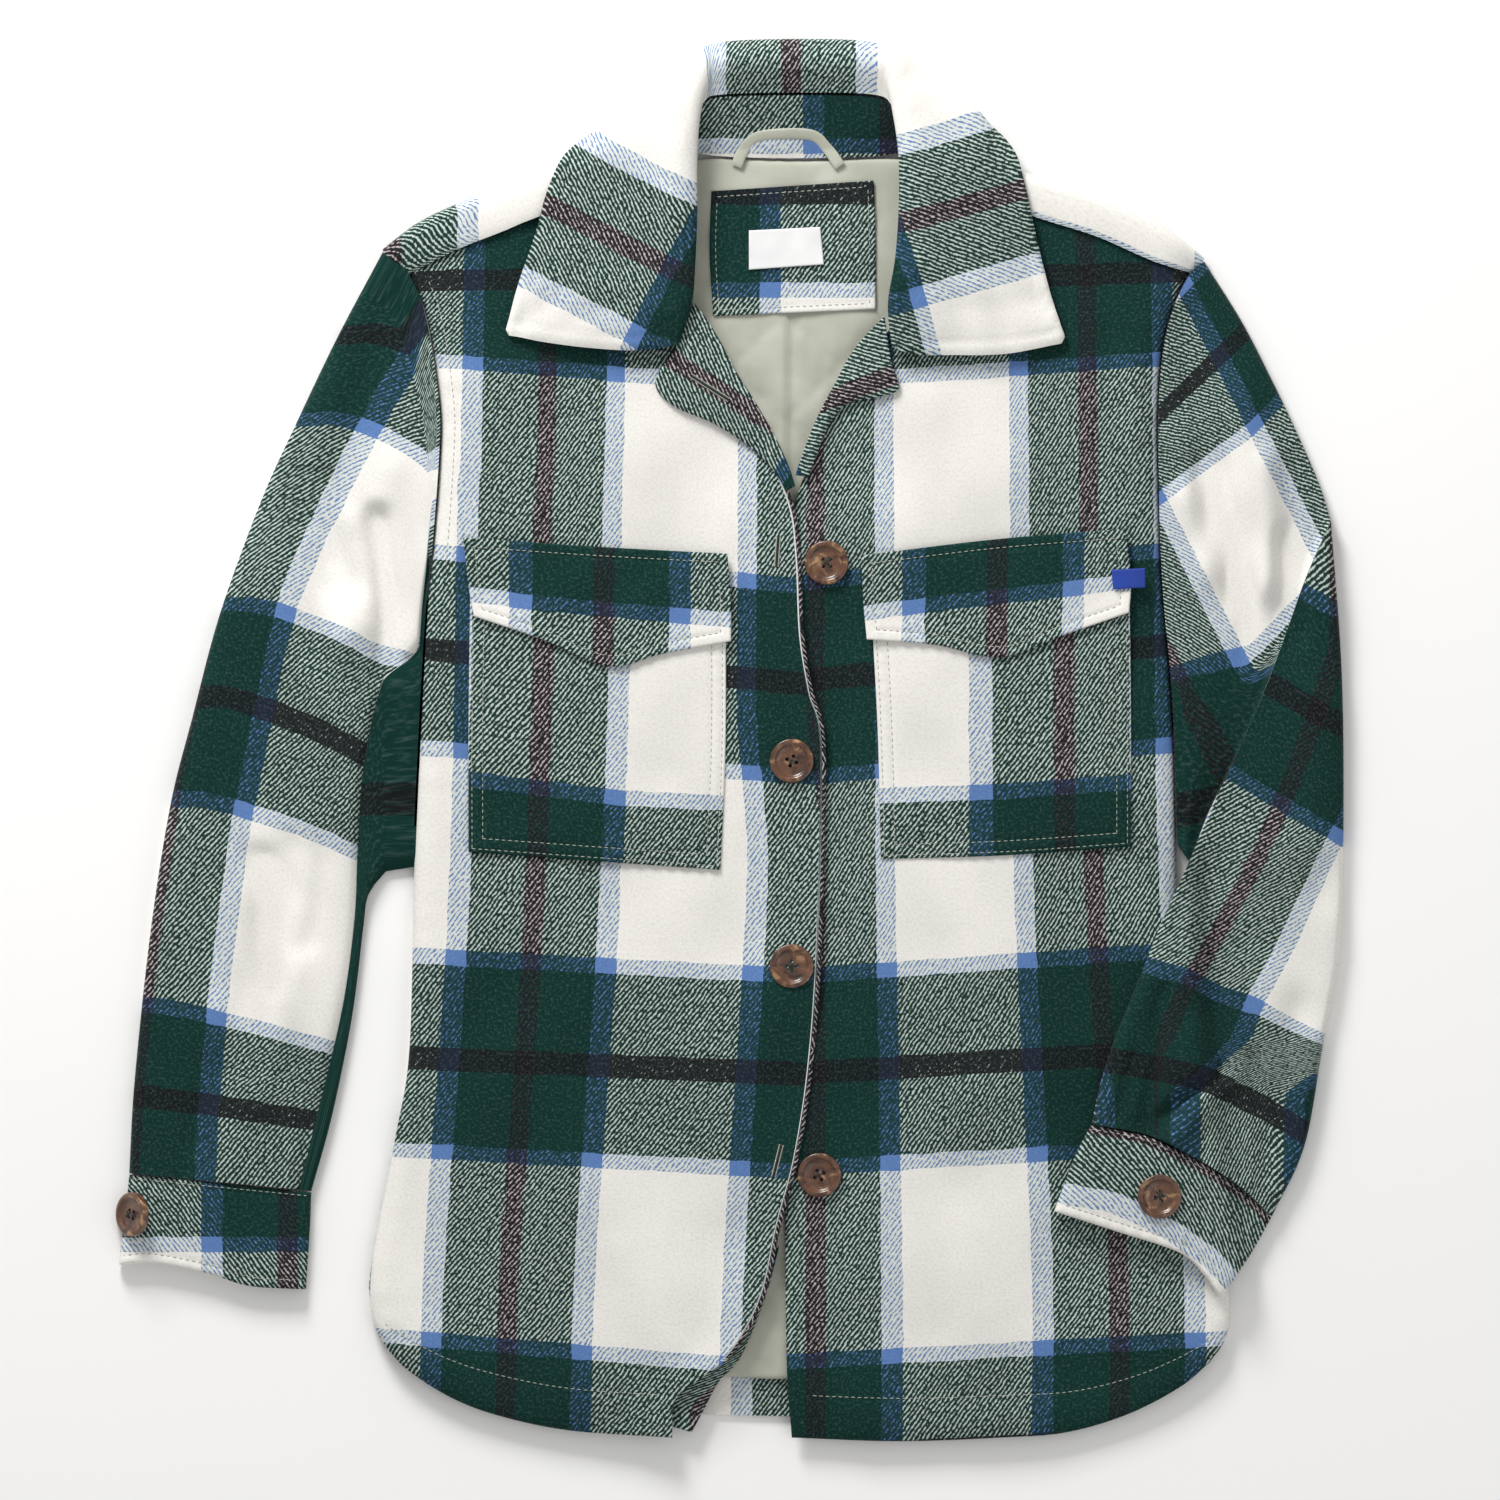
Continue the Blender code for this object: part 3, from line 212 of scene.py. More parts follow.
# Collar sections from the right front end round the back neck to the left front end. Each has the
# stand's neck seam, the seam between stand and fall, the roll line, the crest, two points on the
# leaf and its outer edge. Behind the neck the leaf turns under and lies on the floor.
COLLAR = [
    ((-31, 238, 13), (-36, 226, 15.4), (-31, 224, 17.4), (-40, 222, 18.6),
     (-62, 221, 18.2), (-95, 224, 17), (-125, 229, 15.8)),
    ((-29, 250, 13), (-31, 247, 16.6), (-24, 246, 20), (-33, 247, 23.4),
     (-58, 250, 21.6), (-88, 255, 18.6), (-117, 258, 15.8)),
    ((-36, 276, 13), (-28, 272, 17.4), (-22, 271, 21.6), (-31, 272, 25.4),
     (-54, 276, 22.8), (-82, 281, 19.2), (-108, 284, 15.8)),
    ((-39.5, 300, 13), (-27, 299, 17.4), (-21, 299, 22), (-30, 301, 26),
     (-50, 306, 23.4), (-76, 311, 20), (-100, 312, 18)),
    ((-40, 322, 14.2), (-26, 325, 17.6), (-21, 328, 22), (-28, 333, 26),
     (-45, 338, 23), (-66, 337, 20), (-88, 332, 13)),
    ((-37, 336, 8), (-23, 346, 16), (-19, 354, 21.4), (-25, 359, 24),
     (-40, 360, 20), (-56, 357, 11), (-58, 349, 3)),
    ((-23, 332, 4.6), (-16, 360, 15), (-13, 374, 20.4), (-16, 382, 20),
     (-26, 379, 10), (-30, 372, 1.6), (-31, 352, 0.4)),
    ((-4, 329, 4.6), (-4, 364, 15), (-5, 380, 20.6), (-7, 389, 15),
     (-8, 389, 7), (-7, 382, 0.5), (-5, 341, 0.2)),
    ((38, 328, 4.6), (38, 365, 15), (38, 381, 20.6), (38, 391, 15),
     (38, 391, 7), (38, 384, 0.5), (38, 340, 0.2)),
    ((79, 329, 4.6), (79, 364, 15), (80, 380, 20.6), (82, 389, 15),
     (83, 389, 7), (82, 382, 0.5), (79, 341, 0.2)),
    ((98, 332, 4.6), (91, 358, 15), (88, 374, 20.4), (93, 380, 20),
     (103, 378, 10), (107, 371, 1.6), (106, 352, 0.4)),
    ((109, 336, 8), (97, 344, 16), (93, 352, 21.4), (100, 357, 24),
     (116, 359, 20), (134, 356, 11), (137, 348, 3)),
    ((112, 322, 14.2), (101, 325, 17.6), (96, 328, 22), (103, 333, 26),
     (120, 337, 23), (140, 336, 20), (156, 332, 13)),
    ((111.5, 300, 13), (102, 299, 17.4), (96, 299, 22), (104, 301, 26),
     (124, 305, 23.4), (146, 310, 20), (163, 311, 18)),
    ((108.5, 276, 13), (100, 272, 17.4), (94, 271, 21.6), (103, 272, 25.4),
     (125, 276, 22.8), (149, 280, 19.2), (169, 284, 15.8)),
    ((102, 250, 13), (97, 247, 16.6), (90, 246, 20), (99, 247, 23.4),
     (124, 248, 21.6), (152, 250, 18.6), (177, 252, 15.8)),
    ((94, 238, 13), (98, 225, 15.4), (92, 222, 17.4), (101, 219, 18.6),
     (124, 218, 18.2), (156, 219, 17), (186, 225, 15.8)),
]

# The turned-back upper corners of the fronts, from the foot of the opening up.
LAPEL_RIGHT_FREE = [
    (31, 141), (24, 152), (10, 166), (-10, 179), (-31, 188), (-42, 199),
    (-39, 210), (-32, 218),
]
LAPEL_RIGHT_ROLL = [
    (36, 144), (32, 156), (24, 173), (13, 192), (3, 208), (-6, 225),
    (-14, 238), (-21, 247),
]
LAPEL_LEFT_ROLL = [
    (36, 150), (39, 159), (45, 175), (51, 188), (58, 201), (66, 216),
    (75, 228), (86, 239),
]
LAPEL_LEFT_FREE = [
    (43.5, 149), (47.5, 160), (52.5, 173), (58.5, 183.5), (66, 190.5), (82, 193.5),
    (94, 198.5), (90, 211.5),
]
LAPEL_ARCH = 2.0

# The facing of the right front, which shows below where its lower corner curls up.
FACING_OUTER = [(-22, -386), (-15, -373), (-7, -358), (4, -346), (13, -327), (21, -305), (27, -282)]
FACING_TUCK = 5.0

POCKET_RIGHT = {
    "low": [(-147, -61), (-78, -66), (-6, -71)],
    "high": [(-146, 92), (-78, 88), (-3, 84)],
    "left": [(-147, -61), (-147, 10), (-146, 92)],
    "right": [(-6, -71), (-3, 0), (-3, 84)],
}
POCKET_LEFT = {
    "low": [(84, -65), (151, -63), (224, -58)],
    "high": [(78, 84), (151, 90), (223, 96)],
    "left": [(84, -65), (82, 10), (78, 84)],
    "right": [(224, -58), (224, 20), (223, 96)],
}
FLAP_RIGHT = {
    "low": [(-144, 71), (-106, 58), (-69, 43), (-38, 50), (0, 57)],
    "high": [(-150, 115), (-76, 110), (-2, 106)],
    "left": [(-144, 71), (-147, 88), (-150, 115)],
    "right": [(0, 57), (0, 80), (-2, 106)],
}
FLAP_LEFT = {
    "low": [(76, 58), (114, 55), (152, 48), (188, 61), (223, 73)],
    "high": [(73, 105), (147, 114), (221, 120)],
    "left": [(76, 58), (74, 80), (73, 105)],
    "right": [(223, 73), (224, 92), (221, 120)],
}

NECK_PATCH = {
    "low": [(-10, 239), (36, 241), (81, 243)],
    "high": [(-11, 309), (34, 312), (80, 315)],
    "left": [(-10, 239), (-12, 275), (-11, 309)],
    "right": [(81, 243), (81, 280), (80, 315)],
}
NECK_LABEL = {
    "low": [(10, 265), (52, 268)],
    "high": [(10, 287), (50, 289)],
    "left": [(10, 265), (10, 287)],
    "right": [(52, 268), (50, 289)],
}
HANG_LOOP = [(3, 323), (7, 332), (14, 339), (30, 341), (46, 340), (54, 333), (61, 323)]
HANG_LOOP_WIDTH = 6.5
POCKET_TAB = {
    "low": [(214, 86), (232, 87)],
    "high": [(213, 97), (232, 98)],
    "left": [(214, 86), (213, 97)],
    "right": [(232, 87), (232, 98)],
}

# Soft folds, each a straight ridge, or a trough where its height is below zero.
# x and y of its start, then of its end, height, half width
BODY_FOLDS = [
    (-70, 200, -52, 130, 1.2, 16), (110, 190, 104, 125, 1.2, 14), (211, 225, 216, 140, -1.3, 8),
    (62, 90, 64, 20, -1.6, 7), (62, -150, 68, -245, -2.0, 8), (120, -100, 100, -330, 1.0, 24),
    (-110, -110, -90, -340, 1.0, 26), (-40, -220, -62, -340, -1.0, 22),
]
RIGHT_SLEEVE_FOLDS = [
    (-200, 240, -232, 60, -3.0, 13), (-190, 150, -206, 70, 2.5, 10), (-214, 60, -228, -40, 2.2, 14),
    (-262, -70, -256, -130, -2.6, 8), (-254, -130, -236, -232, -4.2, 8), (-274, -90, -262, -220, 2.4, 12),
    (-300, 20, -318, -120, 1.4, 14),
]
LEFT_SLEEVE_FOLDS = [
    (256, 238, 266, 120, -3.4, 9), (285, 190, 297, 90, 3.0, 13), (270, 120, 280, 40, -2.0, 12),
    (222, -150, 212, -208, 2.2, 8), (243, -140, 232, -214, -3.4, 5), (262, -165, 250, -222, 2.4, 9),
    (300, -60, 292, -170, 2.0, 18), (318, -150, 296, -236, -2.2, 9),
]

# Where each button sits: x, y, the cloth it is sewn on, and its tilt about Y in degrees.
BUTTONS = {
    "button_1": (53.5, 101, "left_front", -4),
    "button_2": (34, -10, "right_front", 0),
    "button_3": (34, -125, "right_front", 0),
    "button_4": (49.5, -242, "left_front", -3),
    "button_cuff_left": (240, -254, "left_cuff", 2),
}
CUFF_BUTTON = (-335.3, -264, 11.1)
CUFF_BUTTON_TILT = -50

# Lesser folds, which the solids leave out, in the same form as the folds above.
FINE_FOLDS = [
    (-60, 40, -20, -60, -0.6, 14), (-150, -90, -120, -200, 0.9, 20), (-120, -230, -150, -330, -0.8, 14),
    (20, -150, 8, -250, 0.8, 16), (-60, -290, -20, -370, 0.9, 12), (90, -60, 180, -160, 0.8, 22),
    (200, -220, 160, -350, -0.9, 20), (120, -280, 140, -380, 0.8, 16), (60, 150, 70, 100, -0.8, 7),
    (222, 180, 214, 118, 0.9, 9), (190, 250, 214, 130, 0.7, 14), (-140, 240, -120, 130, 0.8, 16),
    (-30, 180, 10, 110, -0.7, 12),
]
ARMHOLE_FOLDS = [
    (-196, 124, -192, 40, -9.0, 7), (-214, 120, -216, 50, 2.2, 9), (-250, -60, -262, -180, -3.0, 10),
]
FINE_RIGHT_SLEEVE = [
    (-250, 196, -214, 92, -2.4, 9), (-236, 110, -222, 60, 2.2, 9), (-264, -70, -280, -180, -2.2, 9),
    (-250, -130, -262, -205, 1.8, 9), (-240, 222, -232, 160, 2.6, 7), (-250, 150, -226, 90, -1.1, 8),
    (-276, 90, -232, 20, 1.0, 12), (-300, -40, -250, -80, -1.0, 11), (-222, -20, -236, -110, -1.4, 7),
    (-320, -120, -300, -220, -1.2, 9), (-284, -150, -280, -236, 1.1, 8), (-226, 200, -212, 130, 1.2, 9),
    (-250, -200, -240, -246, 1.2, 5), (-300, -200, -306, -240, -1.0, 5),
]
FINE_LEFT_SLEEVE = [
    (270, 152, 285, 84, -7.0, 8), (285, 86, 294, 54, -4.6, 6.5), (301, 156, 300, 90, 3.6, 8),
    (313, 112, 314, 62, -6.6, 6.5), (256, 140, 266, 96, 3.0, 7), (271, -182, 236, -216, -6.5, 3.6),
    (280, -190, 250, -220, 2.6, 6), (293, -176, 301, -226, -3.4, 5), (322, 20, 330, -50, 2.4, 12),
    (296, -90, 322, -150, -2.2, 12), (300, 200, 316, 130, -1.2, 9), (262, 160, 290, 60, 1.2, 11),
    (310, 60, 280, -40, -1.3, 10), (330, 0, 312, -120, 1.0, 13), (280, -60, 262, -170, -1.2, 9),
    (306, -180, 288, -244, 1.4, 7), (270, -190, 262, -236, -1.4, 5), (226, -176, 214, -212, -1.3, 4),
    (246, 60, 262, -20, 1.0, 9),
]


def smooth(t: Grid) -> Grid:
    """Rises softly from 0 to 1 as t does.

    Args:
        t: Any numbers; they are held between 0 and 1.

    Returns:
        The eased numbers.
    """
    t = np.clip(t, 0, 1)
    return t * t * (3 - 2 * t)


def rise(distance: Grid, reach: float) -> Grid:
    """A quarter round.

    Args:
        distance: How far each point lies from an edge.
        reach: Where the round ends.

    Returns:
        0 at the edge, and 1 from reach inwards.
    """
    share = np.clip(np.asarray(distance, float) / reach, 0, 1)
    return np.sqrt(1 - (1 - share) ** 2)


def curve(knots: Grid, at: Grid) -> Grid:
    """Points of a smooth curve through the knots.

    Args:
        knots: The points to go through.
        at: Knot numbers, whole or between.

    Returns:
        One point for each number.
    """
    knots = np.array(knots, float)
    padded = np.vstack([2 * knots[0] - knots[1], knots, 2 * knots[-1] - knots[-2]])
    first = np.clip(np.floor(at).astype(int), 0, len(knots) - 2)
    t = (np.asarray(at, float) - first)[:, None]
    a, b, c, d = (padded[first + k] for k in range(4))
    return 0.5 * (
        2 * b + (c - a) * t + (2 * a - 5 * b + 4 * c - d) * t**2 + (3 * b - a - 3 * c + d) * t**3
    )


def by_length(knots: Rail, shares: Grid) -> Grid:
    """Points of the curve through the knots, at these shares of its length."""
    at = np.linspace(0, len(knots) - 1, 24 * len(knots))
    fine = curve(knots, at)
    length = np.concatenate([[0], np.cumsum(np.linalg.norm(np.diff(fine, axis=0), axis=1))])
    return curve(knots, np.interp(np.asarray(shares) * length[-1], length, at))


def by_knot(knots: Rail, shares: Grid) -> Grid:
    """Points of the curve through the knots, where the knots stand at equal shares."""
    return curve(knots, np.asarray(shares) * (len(knots) - 1))


def patch(low: Grid, high: Grid, left: Grid, right: Grid, us: Grid, vs: Grid) -> Grid:
    """The plan between four sampled rails.

    Args:
        low: Points of the first row.
        high: Points of the last row.
        left: Points of the first column.
        right: Points of the last column.
        us: Shares across.
        vs: Shares up.

    Returns:
        Rows from low to high, each from left to right.
    """
    u, v = np.asarray(us)[None, :, None], np.asarray(vs)[:, None, None]
    low, high, left, right = low[None], high[None], left[:, None], right[:, None]
    ruled = (1 - v) * low + v * high + (1 - u) * left + u * right
    corners = (
        (1 - u) * (1 - v) * low[:, :1] + u * (1 - v) * low[:, -1:]
        + (1 - u) * v * high[:, :1] + u * v * high[:, -1:]
    )
    return ruled - corners


def rail_patch(rails: Rails, us: Grid, vs: Grid) -> Grid:
    """The plan between the rails low, high, left and right."""
    return patch(
        by_length(rails["low"], us), by_length(rails["high"], us),
        by_length(rails["left"], vs), by_length(rails["right"], vs), us, vs,
    )


def reach_along(plan: Grid, axis: int, from_end: bool = False) -> Grid:
    """How far each point lies from the first or the last one of its row (1) or column (0)."""
    steps = np.linalg.norm(np.diff(plan, axis=axis), axis=2)
    if from_end:
        steps = np.flip(steps, axis)
    total = np.cumsum(steps, axis)
    total = np.concatenate([np.zeros_like(np.take(total, [0], axis)), total], axis)
    return np.flip(total, axis) if from_end else total


def x_at(rail: Rail, y: Grid) -> Grid:
    """x of a rail that runs up, at each y."""
    line = by_length(rail, np.linspace(0, 1, 160))
    order = np.argsort(line[:, 1])
    return np.interp(y, line[order, 1], line[order, 0])


def fold_height(folds: Sequence[tuple[float, ...]], x: Grid, y: Grid) -> Grid:
    """The height that straight soft folds add.

    Args:
        folds: x and y of each one's start and end, then its height and half width.
        x: Places across.
        y: Places up.

    Returns:
        The height at each place.
    """
    added = np.zeros_like(x)
    for x0, y0, x1, y1, height, half_width in folds:
        run = math.hypot(x1 - x0, y1 - y0)
        along = ((x - x0) * (x1 - x0) + (y - y0) * (y1 - y0)) / run
        across = ((x - x0) * (y1 - y0) - (y - y0) * (x1 - x0)) / run
        across = across + 0.25 * half_width * np.sin(along / (2.6 * half_width) + x0)
        fade = smooth(1 + along / (2 * half_width)) * smooth(1 + (run - along) / (2 * half_width))
        added = added + height * fade * np.exp(-((across / half_width) ** 2))
    return added


def waves(x: Grid, y: Grid, seed: int, size: float, height: float) -> Grid:
    """A soft unevenness, as of cloth that was smoothed by hand.

    Args:
        x: Places across.
        y: Places up.
        seed: Which pattern.
        size: How far apart its rises are.
        height: Their usual height.

    Returns:
        The height at each place.
    """
    draw = np.random.default_rng(seed)
    bent_x = x + 0.4 * size * np.sin(y / size * 1.7 + draw.uniform(0, 6))
    bent_y = y + 0.4 * size * np.sin(x / size * 1.3 + draw.uniform(0, 6))
    total = np.zeros_like(x)
    for _ in range(6):
        turn, length, start = draw.uniform(0, TURN), size * draw.uniform(0.6, 1.6), draw.uniform(0, 6)
        total += np.sin((bent_x * math.cos(turn) + bent_y * math.sin(turn)) * TURN / length + start)
    return total * height / 2.4


def pucker(along: Grid, away: Grid, seed: int, height: float = 0.35, pitch: float = 9.0) -> Grid:
    """The small ripples that a row of stitches draws into cloth.

    Args:
        along: Distance along the seam.
        away: Distance from it.
        seed: Which pattern.
        height: The ripples' height.
        pitch: Their usual spacing.

    Returns:
        The height at each place.
    """
    start = 1.7 * seed
    ripple = np.sin(TURN * along / pitch + 1.4 * np.sin(along / (2.7 * pitch) + start) + start)
    strength = 0.55 + 0.45 * np.sin(along / 31 + 2 * start)
    return height * ripple * strength * np.exp(-((away / (0.8 * pitch)) ** 2))


def groove(away: Grid, at: float, depth: float = 0.45, half_width: float = 1.1) -> Grid:
    """How far a row of stitches presses the cloth in, at a distance from an edge."""
    return -depth * np.exp(-(((away - at) / half_width) ** 2))


def shares_of(length: float, step: float, tight: Sequence[float] = (0.5, 1.2, 2.2, 3.6)) -> Grid:
    """Shares along a side, close together at both ends, so that an edge can be rounded.

    Args:
        length: The side's length.
        step: The usual spacing.
        tight: Distances from each end where a row stands.

    Returns:
        Shares from 0 to 1.
    """
    inner = np.linspace(tight[-1] + step / 2, length - tight[-1] - step / 2, max(2, round(length / step)))
    ends = np.array([0, *tight])
    return np.concatenate([ends, inner, length - ends[::-1]]) / length


def near_edge(plan: Grid, sides: str) -> Grid:
    """Distance from the nearest of these sides: l, r, d (first row) and u (last row)."""
    found = [np.full(plan.shape[:2], 1e6)]
    for side in sides:
        found.append(reach_along(plan, 1 if side in "lr" else 0, side in "ru"))
    return np.minimum.reduce(found)


def with_height(plan: Grid, height: Grid) -> Grid:
    """Points from a plan and the heights over it."""
    return np.concatenate([plan, np.broadcast_to(height, plan.shape[:2])[:, :, None]], axis=2)


def body_top(x: Grid, y: Grid) -> Grid:
    """Height of the upper side of the fronts, away from their edges and their lap."""
    under_forearm = smooth((x - 165) / 35) * smooth((-20 - y) / 50)
    return BODY_TOP - FOREARM_SINK * under_forearm + fold_height(BODY_FOLDS, x, y)


def right_top(x: Grid, y: Grid) -> Grid:
    """The right front, which rises over the left one's edge and curls up at its lower corner."""
    curl = smooth((x - x_at(EDGE_RIGHT, y) + CURL_REACH) / CURL_REACH) * smooth((-235 - y) / 60)
    return body_top(x, y) + LAP_SHIFT * smooth((x - LAP_START) / LAP_RUN) + CURL_LIFT * curl


def left_top(x: Grid, y: Grid) -> Grid:
    """The left front, which sinks under the right one's edge."""
    lowest = LINING_TOP + QUILT_PUFF + LAYER_GAP + FRONT_WALL
    return np.maximum(body_top(x, y) - LAP_SHIFT * smooth((LAP_END - x) / LAP_RUN), lowest)


def forearm_support(x: Grid, y: Grid) -> Grid:
    """Height of what the left forearm lies on: the floor, or the side of the body."""
    over = smooth((x_at(SIDE_LEFT, y) + 18 - x) / 12) * smooth((-50 - y) / 22)
    return (BODY_TOP - FOREARM_SINK + 1.2) * over


def linear(hex_colour: str) -> tuple[float, float, float, float]:
    """Turns an sRGB hex colour to linear red, green, blue and alpha."""
    parts = [int(hex_colour[k : k + 2], 16) / 255 for k in (1, 3, 5)]
    parts = [c / 12.92 if c <= 0.04045 else ((c + 0.055) / 1.055) ** 2.4 for c in parts]
    return (*parts, 1.0)


def add_node(
    tree: bpy.types.NodeTree,
    kind: str,
    settings: dict | None = None,
    inputs: dict | None = None,
    stops: Sequence[tuple[float, str, float]] = (),
) -> bpy.types.Node:
    """Adds a node.

    Args:
        tree: The material's nodes.
        kind: The node's type, without ShaderNode.
        settings: Its own settings.
        inputs: A value or a socket to link, for each input.
        stops: Place, hex colour and alpha of each of a colour ramp's stops.

    Returns:
        The node.
    """
    node = tree.nodes.new("ShaderNode" + kind)
    for key, value in (settings or {}).items():
        owner = node.color_ramp if key == "interpolation" and stops else node
        setattr(owner, key, value)
    if stops:
        node.color_ramp.elements.remove(node.color_ramp.elements[1])
    for number, (place, colour, alpha) in enumerate(stops):
        elements = node.color_ramp.elements
        stop = elements.new(place) if number else elements[0]
        stop.position = place
        stop.color = (*linear(colour)[:3], alpha)
    for key, value in (inputs or {}).items():
        if isinstance(value, bpy.types.NodeSocket):
            tree.links.new(value, node.inputs[key])
        else:
            node.inputs[key].default_value = value
    return node


def new_material(name: str) -> tuple[bpy.types.Material, bpy.types.NodeTree, bpy.types.Node]:
    """Makes an empty material.

    Args:
        name: The finish's name.

    Returns:
        The material, its nodes and its shader.
    """
    made = bpy.data.materials.new(name)
    made.use_nodes = True
    return made, made.node_tree, made.node_tree.nodes["Principled BSDF"]


def calc(tree: bpy.types.NodeTree, operation: str, *values: object) -> bpy.types.NodeSocket:
    """The result of a sum on numbers or sockets."""
    return add_node(tree, "Math", {"operation": operation}, dict(enumerate(values))).outputs[0]


def blend(tree: bpy.types.NodeTree, share: object, first: object, second: object) -> bpy.types.NodeSocket:
    """A colour between two others."""
    inputs = {"Factor": share, 6: first, 7: second}
    return add_node(tree, "Mix", {"data_type": "RGBA"}, inputs).outputs[2]


def ranged(
    tree: bpy.types.NodeTree, value: object, start: float, end: float, low: float = 0.0,
    high: float = 1.0, kind: str = "LINEAR",
) -> bpy.types.NodeSocket:
    """A value that goes from low to high as another goes from start to end."""
    inputs = {"Value": value, "From Min": start, "From Max": end, "To Min": low, "To Max": high}
    return add_node(tree, "MapRange", {"interpolation_type": kind}, inputs).outputs[0]


def noise(
    tree: bpy.types.NodeTree, place: object, scale: float, detail: float, **more: float
) -> bpy.types.Node:
    """A cloudy pattern at a place."""
    return add_node(tree, "TexNoise", {}, {"Vector": place, "Scale": scale, "Detail": detail, **more})


def dress(
    tree: bpy.types.NodeTree, shader: bpy.types.Node, colour: bpy.types.NodeSocket,
    constants: dict[str, float], height: bpy.types.NodeSocket | None = None, relief: float = 0.0,
) -> None:
    """Gives the shader its colour, its constants and its relief.

    Args:
        tree: The material's nodes.
        shader: Its shader.
        colour: Its colour.
        constants: A value for each named socket.
        height: The pattern of its relief.
        relief: How high that stands, in millimetres.
    """
    tree.links.new(colour, shader.inputs["Base Color"])
    if height is not None:
        bump = add_node(tree, "Bump", {}, {"Strength": 0.4, "Distance": relief * MM, "Height": height})
        tree.links.new(bump.outputs[0], shader.inputs["Normal"])
    for key, value in constants.items():
        shader.inputs[key].default_value = value


